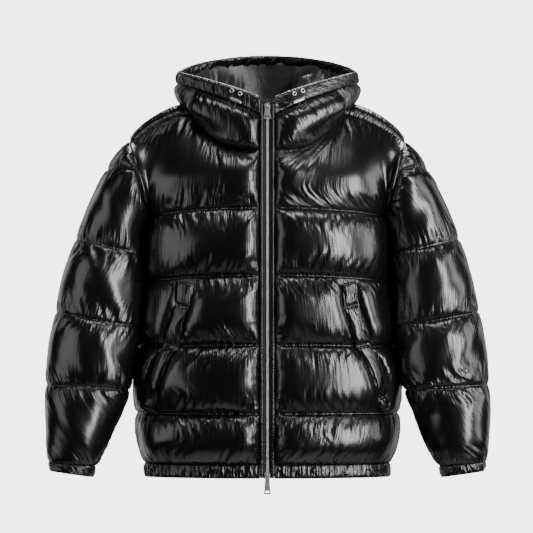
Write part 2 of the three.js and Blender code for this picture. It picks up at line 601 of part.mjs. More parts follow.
// The hood's side has the strip's columns along the neck, then a few more round the back
const STRIP_SHARE = (180 - 2 * COLLAR_END) / (HOOD_BACK - COLLAR_END);
const HOOD_COLUMNS = { sideBack: 4, center: 6 };
const hoodSideGrids = hoodPanel({
  from: COLLAR_END,
  to: HOOD_BACK,
  columns: [
    ...STRIP_ROWS.map((v) => v * STRIP_SHARE),
    ...shares(HOOD_COLUMNS.sideBack).slice(1).map((t) => lerp(STRIP_SHARE, 1, t)),
  ],
  puffAt: (u) => lerp(HOOD_PUFF.side, HOOD_PUFF.back, u) * roll(u, HOOD_ROLL) * roll(1 - u, HOOD_ROLL),
});
const hoodCenterGrids = hoodPanel({
  from: HOOD_BACK,
  to: 360 - HOOD_BACK,
  columns: shares(HOOD_COLUMNS.center),
  puffAt: (u) => HOOD_PUFF.back * roll(u, HOOD_ROLL) * roll(1 - u, HOOD_ROLL),
});

// Rim band: a gathered casing for the drawcord, from one zip edge round the back to the other
const rimEdge = hoodEdgeAngle(RIM);
const rimAngle = (u) => lerp(rimEdge, 360 - rimEdge, u);
const rimPoint = (u, v) => hoodPoint(rimAngle(u), lerp(BAND, RIM, v));
const nearEyelets = (u) => {
  const fromZip = Math.min(rimAngle(u), 360 - rimAngle(u));
  const fromMiddle = Math.abs(fromZip - (EYELET_ANGLES[0] + EYELET_ANGLES[1]) / 2);
  return ease((fromMiddle - EYELET_FLAT.half) / EYELET_FLAT.fade);
};
const rimGrids = bandGrids({
  ...RIM_BAND,
  swell: HOOD_PUFF.rim,
  thickness: WALL,
  count: RIM_BAND.waves * SAMPLES_PER_WAVE,
  at: (u, v) => rimPoint(u, v).add(vector(0, 0, v === 0 ? SEAM_GAP : 0)),
  normalAt: (u) => (u === 0 || u === 1 ? vector(0, -1, 0) : bandNormal(rimAngle(u))),
  flatAt: nearEyelets,
});

// Centre front line: the cloth's face at the zip, from the hem band's lower edge to the rim
const bandEnd = BODY_SEAMS[0].centreZ - HEM_BAND.depth;
const zipLine = [
  vector(0, frontPoint(0, 0).y, bandEnd),
  ...bodyRows.map((v) => frontPoint(0, v)),
  ...NECK_ROWS.slice(1).map((v) => hoodPoint(hoodEdgeAngle(v), v)),
  hoodPoint(hoodEdgeAngle(RIM), RIM),
];
function zipFaceY(z) {
  const next = zipLine.findIndex((p) => p.z > z);
  const above = next < 1 ? zipLine[zipLine.length - 1] : zipLine[next];
  const below = next < 1 ? zipLine[zipLine.length - 2] : zipLine[next - 1];
  return lerp(below.y, above.y, clamp01((z - below.z) / (above.z - below.z)));
}
// A strip along the centre front; its section has x across and out forward of the cloth's face
function zipStrip(section, fromZ, toZ) {
  const isBetween = (z) => z > fromZ + ZIP_LEAST_STEP && z < toZ - ZIP_LEAST_STEP;
  const heights = [fromZ, ...zipLine.map((p) => p.z).filter(isBetween), toZ];
  return barGeometry(heights.map((z) => section.map((p) => vector(p.x, zipFaceY(z) - p.out, z))));
}
const boxSection = (fromX, toX, back, front) => [
  { x: fromX, out: back },
  { x: toX, out: back },
  { x: toX, out: front },
  { x: fromX, out: front },
];
const zipTape = zipStrip(
  boxSection(-TAPE.outer, -TAPE.inner, TAPE.back, TAPE.front),
  bandEnd + ZIP_ENDS.tape,
  ZIP_TOP,
);
const zipChain = zipStrip(
  boxSection(-CHAIN.halfWidth, CHAIN.halfWidth, CHAIN.back, CHAIN.front),
  bandEnd + ZIP_ENDS.chain,
  ZIP_TOP - ZIP_ENDS.chain,
);
const pipingMiddle = (PIPING.inner + PIPING.outer) / 2;
const pipingHalf = (PIPING.outer - PIPING.inner) / 2;
const pipingSection = shares(PIPING.sides).map((share) => {
  const angle = Math.PI * share;
  const out = lerp(PIPING.back, PIPING.front, Math.sin(angle));
  return { x: -pipingMiddle - pipingHalf * Math.cos(angle), out };
});
const piping = zipStrip(pipingSection, bandEnd + ZIP_ENDS.piping, ZIP_TOP + ZIP_ENDS.pipingOver);

// Prepares a closed geometry for cutting and joining, with only its merged positions
const MERGE_WITHIN = 1e-4;
function bare(geometry) {
  geometry.deleteAttribute('normal');
  geometry.deleteAttribute('uv');
  return mergeVertices(geometry, MERGE_WITHIN);
}
function toManifold(geometry) {
  const g = bare(geometry);
  return new wasm.Manifold(new wasm.Mesh({
    numProp: 3,
    vertProperties: new Float32Array(g.getAttribute('position').array),
    triVerts: new Uint32Array(g.index.array),
  }));
}
function fromManifold(manifold) {
  const mesh = manifold.getMesh();
  return closedGeometry(Array.from(mesh.vertProperties), Array.from(mesh.triVerts));
}
// A flat plate cut to a straight-sided shape in the front view, standing across Y
function frontPlate(shape, thickness) {
  const plate = new THREE.ExtrudeGeometry(shape, { depth: thickness, bevelEnabled: false });
  return plate.rotateX(Math.PI / 2).translate(0, thickness / 2, 0);
}
function polygon(points, Kind = THREE.Shape) {
  return new Kind(points.map(([x, y]) => new THREE.Vector2(x, y)));
}
const rectangle = (x, top, bottom) => polygon([[-x, bottom], [x, bottom], [x, top], [-x, top]], THREE.Path);

// Slider: a plate with the bridge that carries its pull tab, round an axis along X at the origin
function sliderGeometry() {
  const half = SLIDER.width / 2;
  const top = SLIDER.length * SLIDER_RISE;
  const foot = top - SLIDER.length;
  const { crown, foot: footShare, shoulder, taper } = SLIDER_SHAPE;
  const outline = polygon([
    [-half * footShare, foot], [half * footShare, foot], [half, foot + taper], [half, top - shoulder],
    [half * crown, top], [-half * crown, top], [-half, top - shoulder], [-half, foot + taper],
  ]);
  const plate = frontPlate(outline, SLIDER.thickness)
    .translate(0, BRIDGE.standOff + SLIDER.thickness / 2, 0);
  const arch = new THREE.Shape();
  const sunk = -BRIDGE.standOff - SLIDER.thickness / 2;
  arch.moveTo(sunk, -BRIDGE.outer);
  arch.lineTo(0, -BRIDGE.outer);
  arch.absarc(0, 0, BRIDGE.outer, -Math.PI / 2, Math.PI / 2, false);
  arch.lineTo(sunk, BRIDGE.outer);
  arch.lineTo(sunk, BRIDGE.inner);
  arch.lineTo(0, BRIDGE.inner);
  arch.absarc(0, 0, BRIDGE.inner, Math.PI / 2, -Math.PI / 2, true);
  arch.lineTo(sunk, -BRIDGE.inner);
  const curve = { bevelEnabled: false, curveSegments: BRIDGE.segments };
  const bridge = new THREE.ExtrudeGeometry(arch, { depth: 2 * BRIDGE.halfWidth, ...curve });
  const axes = new THREE.Matrix4().makeBasis(vector(0, -1, 0), vector(0, 0, 1), vector(-1, 0, 0));
  bridge.applyMatrix4(axes).translate(BRIDGE.halfWidth, 0, 0);
  return fromManifold(toManifold(plate).add(toManifold(bridge)));
}
// Pull tab: its eye goes round the slider's bridge and it hangs from the same axis
function tabGeometry(tab) {
  const top = TAB_THICKNESS / 2;
  const foot = tab.foot / 2;
  const neck = tab.neck / 2;
  const widens = -TAB_EYE.end - TAB_EYE.rim;
  const shape = polygon([
    [-foot, -tab.length + TAB_CHAMFER], [-foot + TAB_CHAMFER, -tab.length],
    [foot - TAB_CHAMFER, -tab.length], [foot, -tab.length + TAB_CHAMFER],
    [neck, widens], [neck, top - TAB_CHAMFER], [neck - TAB_CHAMFER, top],
    [-neck + TAB_CHAMFER, top], [-neck, top - TAB_CHAMFER], [-neck, widens],
  ]);
  shape.holes.push(rectangle(TAB_EYE.halfWidth, -top, -TAB_EYE.end));
  shape.holes.push(rectangle(tab.slotHalf, -tab.slotTop, -tab.slotEnd));
  return bare(frontPlate(shape, TAB_THICKNESS));
}
// The pull's axis, with the slider's plate just clear of the chain along its whole length
function pullAxis(z) {
  const top = z + SLIDER.length * SLIDER_RISE;
  const ends = [top, top - SLIDER.length].map(zipFaceY);
  return vector(0, Math.min(...ends) - SLIDER.back - SLIDER.thickness - BRIDGE.standOff, z);
}

// Pocket welt: a padded strip on the front's own points, moved out, that bridges the seam it crosses
const weltRows = bodyRows.map((v, i) => i)
  .filter((i) => bodyRows[i] > WELT.bottomSeam + WELT_END && bodyRows[i] < WELT.topSeam - WELT_END);
function liftedStrip(rows, lift, heightAt) {
  const columns = [WELT_COLUMN, WELT_COLUMN + 1, WELT_COLUMN + 2];
  const { outer, normals } = frontGrids;
  const raise = (r, c, height) => outer[r][c].clone().addScaledVector(normals[r][c], height);
  return {
    outer: rows.map((r) => columns.map((c, i) => raise(r, c, lift + heightAt(r, i)))),
    inner: rows.map((r) => columns.map((c) => raise(r, c, lift))),
  };
}
const weltGrids = liftedStrip(weltRows, WELT_LIFT, (r, i) => {
  const dip = 1 - channel(channelShare(bodyRows[r], TOP));
  return (i === 1 ? WELT_BODY.crown : WELT_BODY.edge) + WELT_BODY.bridge * Math.max(dip - WELT_BODY.slack, 0);
});

// Eyelets of the drawcord's casing, on the flat stretch of the rim band
function eyeletGeometry(angle) {
  const profile = [
    [EYELET.inner, 0], [EYELET.outer, 0], [EYELET.outer, EYELET.height / 2],
    [(EYELET.inner + EYELET.outer) / 2, EYELET.height], [EYELET.inner, EYELET.height / 2], [EYELET.inner, 0],
  ].map(([r, y]) => new THREE.Vector2(r, y));
  const ring = bare(new THREE.LatheGeometry(profile, EYELET.sides));
  const u = (angle - rimEdge) / (360 - 2 * rimEdge);
  const normal = surfaceNormal(rimPoint, u, 0.5, 1);
  const low = rimPoint(u, 0.5).addScaledVector(normal, HOOD_PUFF.rim);
  const place = low.lerp(rimPoint(u, 1), (EYELET.row - 0.5) / 0.5);
  const across = rimPoint(u + NORMAL_STEP, 0.5).sub(rimPoint(u, 0.5));
  const up = rimPoint(u, 1).sub(rimPoint(u, 0.5).addScaledVector(normal, HOOD_PUFF.rim));
  const facing = up.cross(across).normalize();
  ring.applyQuaternion(new THREE.Quaternion().setFromUnitVectors(vector(0, 1, 0), facing));
  place.addScaledVector(facing, EYELET.lift);
  return ring.translate(place.x, place.y, place.z);
}

// Cord lock: a rounded bar that lies along the rim band, below the eyelets
const LOCK_STATIONS = [
  { along: 0, scale: 0.55 },
  { along: 0.08, scale: 0.95 },
  { along: 0.5, scale: 1 },
  { along: 0.92, scale: 0.95 },
  { along: 1, scale: 0.55 },
];
const lockGeometry = barGeometry(LOCK_STATIONS.map((station) => range(LOCK.sides).map((i) => {
  const angle = 2 * Math.PI * i / LOCK.sides;
  const middle = LOCK_ENDS[0].clone().lerp(LOCK_ENDS[1], station.along);
  const y = LOCK.halfDepth * station.scale * Math.cos(angle);
  return middle.add(vector(0, y, LOCK.halfHeight * station.scale * Math.sin(angle)));
})));

// The cord's loop as a tube along its route
function cordGeometry() {
  const section = new THREE.Shape();
  section.absarc(0, 0, CORD_DIAMETER / 2, 0, 2 * Math.PI);
  const path = new THREE.CatmullRomCurve3(CORD_ROUTE);
  return bare(new THREE.ExtrudeGeometry(section, { ...CORD_DETAIL, extrudePath: path }));
}

// Finishes
const finish = (color, roughness, metalness) => new THREE.MeshStandardMaterial({ color, roughness, metalness });
const SHELL = finish(0x17171a, 0.28, 0);
const RIB = finish(0x141416, 0.55, 0);
const TAPE_CLOTH = finish(0x111113, 0.7, 0);
const METAL = finish(0x6d6f73, 0.3, 1);
const CORD = finish(0x1b1b1d, 0.65, 0);

const jacket = new THREE.Group();
function add(name, geometry, material, place = vector(0, 0, 0)) {
  const mesh = new THREE.Mesh(geometry, material);
  mesh.name = name;
  mesh.position.copy(place);
  jacket.add(mesh);
  return mesh;
}
// A pair: the wearer's right side as built, and its mirror image on the left
function addPair(name, geometry, material) {
  add(`${name}_right`, geometry, material);
  add(`${name}_left`, mirrored(geometry), material);
}

addPair('front', wallGeometry(frontGrids), SHELL);
add('back', wallGeometry(backGrids), SHELL);
addPair('shoulder_strip', wallGeometry(stripGrids), SHELL);
addPair('sleeve', wallGeometry(sleeveGrids, true), SHELL);
addPair('cuff', wallGeometry(cuffGrids, true), RIB);
add('hem_band', wallGeometry(hemBandGrids), RIB);
addPair('collar', wallGeometry(collarGrids), SHELL);
addPair('hood_side', wallGeometry(hoodSideGrids), SHELL);
add('hood_center', wallGeometry(hoodCenterGrids), SHELL);
add('hood_rim', wallGeometry(rimGrids), SHELL);
addPair('pocket_welt', wallGeometry(weltGrids), SHELL);
addPair('zip_tape', zipTape, TAPE_CLOTH);
addPair('zip_piping', piping, SHELL);
add('zip_chain', zipChain, METAL);
EYELET_ANGLES.forEach((angle, i) => addPair(`eyelet_${i + 1}`, eyeletGeometry(angle), METAL));
addPair('cord_lock', lockGeometry, METAL);
addPair('cord_loop', cordGeometry(), CORD);
const slider = sliderGeometry();
const pulls = [
  { name: 'top', z: SLIDER.topZ, tab: TOP_TAB },
  { name: 'bottom', z: SLIDER.bottomZ, tab: BOTTOM_TAB },
];
for (const pull of pulls) {
  add(`zip_slider_${pull.name}`, slider, METAL, pullAxis(pull.z));
  add(`pull_tab_${pull.name}`, tabGeometry(pull.tab), METAL, pullAxis(pull.z));
}

export default jacket;
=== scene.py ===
"""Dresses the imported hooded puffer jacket: quilted shell, gathered bands, zip, cords, lining and studio.

The forms repeat the frame's own rules in millimetres, +Z up, front towards -Y, wearer's right at -X.
"""
import logging
import math
from dataclasses import dataclass, field
from enum import Enum
from typing import Any, Callable, Sequence

import bmesh
import bpy
import numpy as np
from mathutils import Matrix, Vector


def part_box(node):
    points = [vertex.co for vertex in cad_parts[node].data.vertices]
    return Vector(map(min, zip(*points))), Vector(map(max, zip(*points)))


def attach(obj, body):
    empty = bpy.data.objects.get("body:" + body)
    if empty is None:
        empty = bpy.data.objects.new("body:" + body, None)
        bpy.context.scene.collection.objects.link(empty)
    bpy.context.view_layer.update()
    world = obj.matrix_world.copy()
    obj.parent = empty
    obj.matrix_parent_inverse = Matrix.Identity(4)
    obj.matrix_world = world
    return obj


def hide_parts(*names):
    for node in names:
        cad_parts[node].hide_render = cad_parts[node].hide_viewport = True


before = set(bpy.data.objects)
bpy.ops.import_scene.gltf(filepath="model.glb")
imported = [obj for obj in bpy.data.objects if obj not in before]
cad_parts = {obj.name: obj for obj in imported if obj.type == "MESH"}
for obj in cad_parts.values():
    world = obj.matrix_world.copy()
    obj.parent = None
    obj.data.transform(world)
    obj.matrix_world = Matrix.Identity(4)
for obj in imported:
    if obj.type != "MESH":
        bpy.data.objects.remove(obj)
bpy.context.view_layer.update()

logging.basicConfig(level=logging.INFO, format="%(message)s")
LOG = logging.getLogger("jacket")

MM = 0.001
LEAST_LENGTH = 1e-9
LEAST_TRAVEL = 1e-6
SEED_STEP = 7
BODY = "jacket"

Grid = np.ndarray
Triple = tuple[float, float, float]
Socket = bpy.types.NodeSocket
Piece = bpy.types.Object


class Side(Enum):
    """The wearer's side, with the sign that mirrors the right side's points."""

    RIGHT = 1
    LEFT = -1

    @property
    def word(self) -> str:
        """The side's ending in a node's name."""
        return self.name.lower()


def lerp(a: Any, b: Any, t: Any) -> Any:
    """A value between a and b at share t."""
    return a + (b - a) * t


def ease(t: Grid) -> Grid:
    """A smooth step from 0 to 1."""
    t = np.clip(t, 0, 1)
    return t * t * (3 - 2 * t)


def bell(distance: Grid, width: float) -> Grid:
    """A bell curve, 1 at no distance."""
    return np.exp(-((distance / width) ** 2))


def signed_power(value: Grid, power: float) -> Grid:
    """A power that keeps its base's sign."""
    return np.sign(value) * np.abs(value) ** power


def unit(vectors: Grid) -> Grid:
    """The vectors at length one."""
    return vectors / np.maximum(np.linalg.norm(vectors, axis=-1, keepdims=True), LEAST_LENGTH)


def points(x: Grid, y: Grid, z: Grid) -> Grid:
    """One array of points from three arrays of coordinates."""
    return np.stack(np.broadcast_arrays(x, y, z), axis=-1)


def flipped(grid: Grid) -> Grid:
    """The mirror image of an array of points."""
    return grid * np.array([-1.0, 1.0, 1.0])


def line_length(line: Grid) -> float:
    """The length of a line of points."""
    return np.linalg.norm(np.diff(line, axis=0), axis=1).sum()


def measured(grid: Grid, axis: int) -> Grid:
    """The way along a grid's rows (1) or columns (0) at each point, from its start."""
    step = np.linalg.norm(np.diff(grid, axis=axis), axis=-1)
    start = np.zeros_like(np.take(step, [0], axis))
    return np.concatenate([start, np.cumsum(step, axis=axis)], axis=axis)


def channel(t: Grid, power: float = 0.72) -> Grid:
    """A channel's swelling, 0 at each seam and 1 between them."""
    t = np.clip(t, 0, 1)
    return (4 * t * (1 - t)) ** power


def yoke_channel(t: Grid) -> Grid:
    """The yoke's swelling, steep from the chest seam and soft to the shoulder."""
    return np.where(t < 0.5, channel(t), 1 - (2 * t - 1) ** 2)


def roll(distance: Grid, width: float) -> Grid:
    """A quarter-round roll, 0 at an edge and 1 at the given width from it."""
    return np.sqrt(1 - (1 - np.clip(distance / width, 0, 1)) ** 2)


def section_at(table: Grid, place: Grid) -> tuple[Grid, ...]:
    """The columns of a table of sections at fractional places, smooth through its rows.

    Args:
        table: One row of sizes for each seam.
        place: Row numbers with fractions.

    Returns:
        One array for each column of the table.
    """
    last = len(table) - 1
    place = np.clip(place, 0, last)
    row = np.minimum(np.floor(place).astype(int), last - 1)
    t = (place - row)[..., None]
    a, b = table[row], table[row + 1]
    before, after = table[np.maximum(row - 1, 0)], table[np.minimum(row + 2, last)]
    slope_a = (b - before) / np.where(row > 0, 2, 1)[..., None]
    slope_b = (after - a) / np.where(row + 2 <= last, 2, 1)[..., None]
    rise = lerp(a, b, 3 * t**2 - 2 * t**3)
    curve = rise + (t**3 - 2 * t**2 + t) * slope_a + (t**3 - t**2) * slope_b
    return tuple(np.moveaxis(curve, -1, 0))


def sine(angle: Grid) -> Grid:
    """The sine of degrees."""
    return np.sin(np.radians(angle))


def cosine(angle: Grid) -> Grid:
    """The cosine of degrees."""
    return np.cos(np.radians(angle))


@dataclass(frozen=True)
class JacketForm:
    """The jacket's surfaces without their swelling, from the frame's tables of seams."""

    placket_edge: float = 14.0
    section_power: float = 2.4
    sleeve_power: float = 2.15
    collar_end: float = 74.0
    hood_back: float = 150.0
    strip_half_angle: float = 14.0
    shoulder_arch: float = 9.0
    front_neck: float = 0.5
    back_shoulder: float = 0.34
    level_power: float = 4.0
    vee_power: float = 0.75
    hood_drop_power: float = 1.3
    cap_seam_z: float = -124.0
    cap_seam_least: float = 0.05
    body_seams: Grid = field(default_factory=lambda: np.array([
        (-673, -671, 229, -106, 92, 18),
        (-578, -577, 244, -120, 104, 22),
        (-450, -454, 238, -123, 102, 22),
        (-320, -332, 228, -121, 100, 16),
        (-195, -210, 224, -118, 102, 8),
    ], float))
    hood_rings: Grid = field(default_factory=lambda: np.array([
        (138, -104, 90, -87, -3, 8, 0),
        (151, -104.5, 120, -76, 11, 0, 0.15),
        (164, -104, 160, -62, 18, -44, 0.4),
        (171, -103, 186, -47, 27, -8, 0.75),
        (169, -100, 176, -32, 38, 62, 1),
        (166, -97, 158, 4, 60, 94, 1),
    ], float))
    sleeve_seams: Grid = field(default_factory=lambda: np.array([
        (-257, -70, -224, -210, 86, 8),
        (-299, -123, -228, -219, 82, 4),
        (-357, -253, -239, -281, 72, -8),
        (-394, -389, -246, -417, 70, -26),
        (-412, -524, -265, -532, 66, -40),
        (-408, -669, -321, -676, 42, -50),
    ], float))
    cuff_end: Grid = field(default_factory=lambda: np.array([
        (-404, -686, -325, -697, 39, -51),
    ] * 2, float))

    @property
    def chest(self) -> int:
        """The number of the chest seam, under the yoke."""
        return len(self.body_seams) - 1

    @property
    def top(self) -> int:
        """The number of the neck and shoulder seam."""
        return len(self.body_seams)

    @property
    def band(self) -> int:
        """The number of the seam between the hood and its rim band."""
        return len(self.hood_rings) - 2

    @property
    def rim(self) -> int:
        """The number of the rim's edge."""
        return len(self.hood_rings) - 1

    @property
    def wrist(self) -> int:
        """The number of the sleeve's last seam."""
        return len(self.sleeve_seams) - 1

    def body(self, angle: Grid, place: Grid) -> Grid:
        """A point of the body: 0 degrees is the centre front, 90 the wearer's right, 180 the back."""
        centre_z, side_z, half_width, front_y, back_y, side_y = section_at(self.body_seams, place)
        s, c = sine(angle), cosine(angle)
        power = 2 / self.section_power
        reach = np.where(c > 0, front_y, back_y) - side_y
        x = -half_width * signed_power(s, power)
        return points(x, side_y + reach * np.abs(c) ** power, lerp(centre_z, side_z, s**2))

    def hood(self, angle: Grid, place: Grid) -> Grid:
        """A point of the hood or collar: 0 degrees is the zip, 90 the wearer's right."""
        half_width, front_y, back_y, front_z, side_z, back_z, vee = section_at(self.hood_rings, place)
        s, c = np.abs(sine(angle)), cosine(angle)
        front = lerp(front_z, side_z, lerp(s**self.level_power, s**self.vee_power, vee))
        z = np.where(c > 0, front, lerp(side_z, back_z, np.abs(c) ** self.hood_drop_power))
        return points(-half_width * sine(angle), np.where(c > 0, front_y, back_y) * np.abs(c), z)

    def sleeve(self, angle: Grid, place: Grid) -> Grid:
        """A point of the right sleeve: 0 degrees is its outer side, 90 the front, 180 the inner side."""
        return self._tube(self.sleeve_seams, angle, place)

    def cuff(self, angle: Grid) -> Grid:
        """A point of the right cuff's open end."""
        return self._tube(self.cuff_end, angle, np.zeros_like(angle))

    def _tube(self, table: Grid, angle: Grid, place: Grid) -> Grid:
        """A point of a tube whose sections are given by their outer and inner ends."""
        outer_x, outer_z, inner_x, inner_z, half_depth, mid_y = section_at(table, place)
        power = 2 / self.sleeve_power
        along, forward = signed_power(cosine(angle), power), signed_power(sine(angle), power)
        x = (outer_x + inner_x) / 2 + along * (outer_x - inner_x) / 2
        z = (outer_z + inner_z) / 2 + along * (outer_z - inner_z) / 2
        return points(x, mid_y - half_depth * forward, z)

    def sleeve_place(self, angle: Grid, row: Grid) -> Grid:
        """The table's place of a sleeve row, so that the cap's seam runs level round the sleeve."""
        zero = np.zeros_like(angle)
        top = self.sleeve(angle, zero)[..., 2]
        drop = top - self.sleeve(angle, zero + 1)[..., 2]
        share = np.clip((top - self.cap_seam_z) / drop, self.cap_seam_least, 1)
        return np.where(row <= 1, row * share, np.where(row < 2, lerp(share, 2, row - 1), row))

    def hood_edge(self, place: Grid) -> Grid:
        """The angle of the placket's edge on a hood ring."""
        half_width = section_at(self.hood_rings, place)[0]
        return np.degrees(np.arcsin(self.placket_edge / half_width))

    def front_start(self, place: Grid) -> Grid:
        """The angle of the placket's edge on a body section."""
        half_width = section_at(self.body_seams, place)[2]
        return np.degrees(np.arcsin((self.placket_edge / half_width) ** (self.section_power / 2)))

    def shoulder(self, t: Grid, is_front: bool) -> Grid:
        """A shoulder seam, from the neck (0) to the armhole (1)."""
        zero = np.zeros_like(t)
        neck = self.hood(zero + (self.collar_end if is_front else 180 - self.collar_end), zero)
        end = self.sleeve(zero + (self.strip_half_angle if is_front else -self.strip_half_angle), zero)
        arch = points(zero, zero, self.shoulder_arch * 4 * t * (1 - t))
        return lerp(neck, end, t[..., None]) + arch


@dataclass(frozen=True)
class Patch:
    """A patch between four edge curves; its side edges fade in over a power of the way across."""

    bottom: Callable[[Grid], Grid]
    top: Callable[[Grid], Grid]
    left: Callable[[Grid], Grid]
    right: Callable[[Grid], Grid]
    fade: float

    def at(self, u: Grid, v: Grid) -> Grid:
        """Points of the patch.

        Args:
            u: Shares across, from the left edge.
            v: Shares up, from the bottom edge.
        """
        share = v[..., None]
        middle = lerp(self.bottom(u), self.top(u), share)
        zero, one = np.zeros_like(u), np.ones_like(u)
        left = self.left(v) - lerp(self.bottom(zero), self.top(zero), share)
        right = self.right(v) - lerp(self.bottom(one), self.top(one), share)
        return middle + left * ((1 - u) ** self.fade)[..., None] + right * (u**self.fade)[..., None]


class Ripple:
    """Smooth seeded noise on a plane, about -1 to 1, repeating after its lattice."""

    CELLS = 97
    STEEPNESS = 1.6

    def __init__(self, seed: int) -> None:
        """Fills the lattice.

        Args:
            seed: The seed of this lattice alone.
        """
        self.lattice = np.random.default_rng(seed).uniform(-1, 1, (self.CELLS, self.CELLS))

    def at(self, x: Grid, y: Grid) -> Grid:
        """The noise at places counted in lattice cells."""
        column, row = np.floor(x).astype(int), np.floor(y).astype(int)
        fx, fy = ease(x - column), ease(y - row)

        def corner(i: int, j: int) -> Grid:
            """The lattice's numbers at one corner of each place's cell."""
            return self.lattice[(row + j) % self.CELLS, (column + i) % self.CELLS]

        low = lerp(corner(0, 0), corner(1, 0), fx)
        return lerp(low, lerp(corner(0, 1), corner(1, 1), fx), fy)

    def ridges(self, x: Grid, y: Grid) -> Grid:
        """Rounded ridges, 0 in the creases between them and 1 on their crests."""
        return 1 - np.abs(self.at(x, y)) * self.STEEPNESS


@dataclass(frozen=True)
class Waves:
    """Noise stretched over cloth: its height, its cells along and up it, and where it starts."""

    height: float
    along: float
    up: float
    start: tuple[float, float] = (0.0, 0.0)

    def over(self, noise: Ripple, s: Grid, h: Grid) -> Grid:
        """The waves' height at places s along and h up the cloth."""
        return self.height * noise.at(s / self.along + self.start[0], h / self.up + self.start[1])


def grid_normals(grid: Grid, is_tube: bool) -> Grid:
    """Unit normals of a grid of points, on the side where columns run left and rows run up.

    Args:
        grid: Rows of points.
        is_tube: Whether the last column joins the first.
    """
    along = np.gradient(grid, axis=0)
    if is_tube:
        across = np.roll(grid, -1, axis=1) - np.roll(grid, 1, axis=1)
    else:
        across = np.gradient(grid, axis=1)
    return unit(np.cross(along, across))


def finer(grid: Grid, is_tube: bool) -> Grid:
    """The grid with a cubic midpoint between each two of its points, both ways."""
    return _finer_rows(_finer_rows(grid, False).swapaxes(0, 1), is_tube).swapaxes(0, 1)


def _finer_rows(grid: Grid, is_loop: bool) -> Grid:
    """The grid with a cubic midpoint between each two of its rows."""
    if is_loop:
        ring = np.concatenate([grid[-1:], grid, grid[:2]])
    else:
        ring = np.concatenate([2 * grid[:1] - grid[1:2], grid, 2 * grid[-1:] - grid[-2:-1]])
    middle = (9 * (ring[1:-2] + ring[2:-1]) - ring[:-3] - ring[3:]) / 16
    rows = len(grid) + len(middle)
    woven = np.empty((rows, *grid.shape[1:]))
    woven[0::2] = grid
    woven[1::2] = middle
    return woven


def even_shares(line: Grid, count: int) -> Grid:
    """Shares along a line of points that space it evenly.

    Args:
        line: Points at equal steps of the share.
        count: How many shares to return.
    """
    length = measured(line, 0)
    return np.interp(np.linspace(0, length[-1], count), length, np.linspace(0, 1, len(line)))


def add_object(name: str, data: bpy.types.ID) -> Piece:
    """A new object in the scene, at the origin."""
    obj = bpy.data.objects.new(name, data)
    bpy.context.scene.collection.objects.link(obj)
    return obj


class Cloth:
    """Makes meshes from grids of points in millimetres."""

    @staticmethod
    def faces(rows: int, columns: int, is_tube: bool, start: int = 0, turn: bool = False) -> Grid:
        """The quads of a grid.

        Args:
            rows: Rows of points.
            columns: Points in a row.
            is_tube: Whether the last column joins the first.
            start: The number of the grid's first point.
            turn: Whether the faces look to the grid's back.
        """
        r = np.arange(rows - 1)[:, None]
        c = np.arange(columns if is_tube else columns - 1)[None, :]
        d = (c + 1) % columns
        low, high = r * columns, (r + 1) * columns
        quads = np.stack([low + c, high + c, high + d, low + d], -1).reshape(-1, 4) + start
        return quads[:, ::-1] if turn else quads

    @staticmethod
    def mesh(name: str, grid: Grid, quads: Grid) -> Piece:
        """An object of quads over points.

        Args:
            name: The object's name.
            grid: Points in millimetres, in any arrangement.
            quads: Rows of four point numbers.

        Returns:
            The object, at the origin.
        """
        mesh = bpy.data.meshes.new(name)
        flat = grid.reshape(-1, 3) * MM
        mesh.vertices.add(len(flat))
        mesh.vertices.foreach_set("co", flat.ravel())
        mesh.loops.add(quads.size)
        mesh.loops.foreach_set("vertex_index", quads.ravel().astype(np.int32))
        mesh.polygons.add(len(quads))
        mesh.polygons.foreach_set("loop_start", np.arange(0, quads.size, 4, dtype=np.int32))
        mesh.update(calc_edges=True)
        mesh.shade_smooth()
        return add_object(name, mesh)

    @classmethod
    def sheet(cls, name: str, grid: Grid, is_tube: bool = False) -> Piece:
        """An open sheet over a grid."""
        return cls.mesh(name, grid, cls.faces(*grid.shape[:2], is_tube))

    @classmethod
    def wall(cls, name: str, outer: Grid, inner: Grid, is_tube: bool = False) -> Piece:
        """A closed wall between two matching grids.

        Args:
            name: The object's name.
            outer: The outside's grid.
            inner: The inside's grid.
            is_tube: Whether the last column joins the first.
        """
        rows, columns = outer.shape[:2]
        total = rows * columns
        number = np.arange(total).reshape(rows, columns)
        edges = []
        ends = [(number[0], 1), (number[-1], -1)]
        if not is_tube:
            ends += [(number[:, 0], -1), (number[:, -1], 1)]
        for line, turn in ends:
            a, b = line, np.roll(line, -1)
            if not is_tube:
                a, b = a[:-1], b[:-1]
            edges.append(np.stack([a, b, b + total, a + total], -1)[:, ::turn])
        quads = np.concatenate([
            cls.faces(rows, columns, is_tube),
            cls.faces(rows, columns, is_tube, total, turn=True),
            *edges,
        ])
        return cls.mesh(name, np.concatenate([outer.reshape(-1, 3), inner.reshape(-1, 3)]), quads)

    @staticmethod
    def mark(obj: Piece, name: str, lengths: Grid) -> None:
        """Stores a length for each point as an attribute, in metres."""
        layer = obj.data.attributes.new(name, "FLOAT", "POINT")
        layer.data.foreach_set("value", (lengths * MM).ravel().astype(np.float32))

    @staticmethod
    def unwrap(obj: Piece, places: Grid) -> None:
        """Maps the cloth flat by each point's place along and up it."""
        corner = np.empty(len(obj.data.loops), np.int32)
        obj.data.loops.foreach_get("vertex_index", corner)
        layer = obj.data.uv_layers.new(name="cloth")
        layer.data.foreach_set("uv", (places[corner] * MM).ravel())


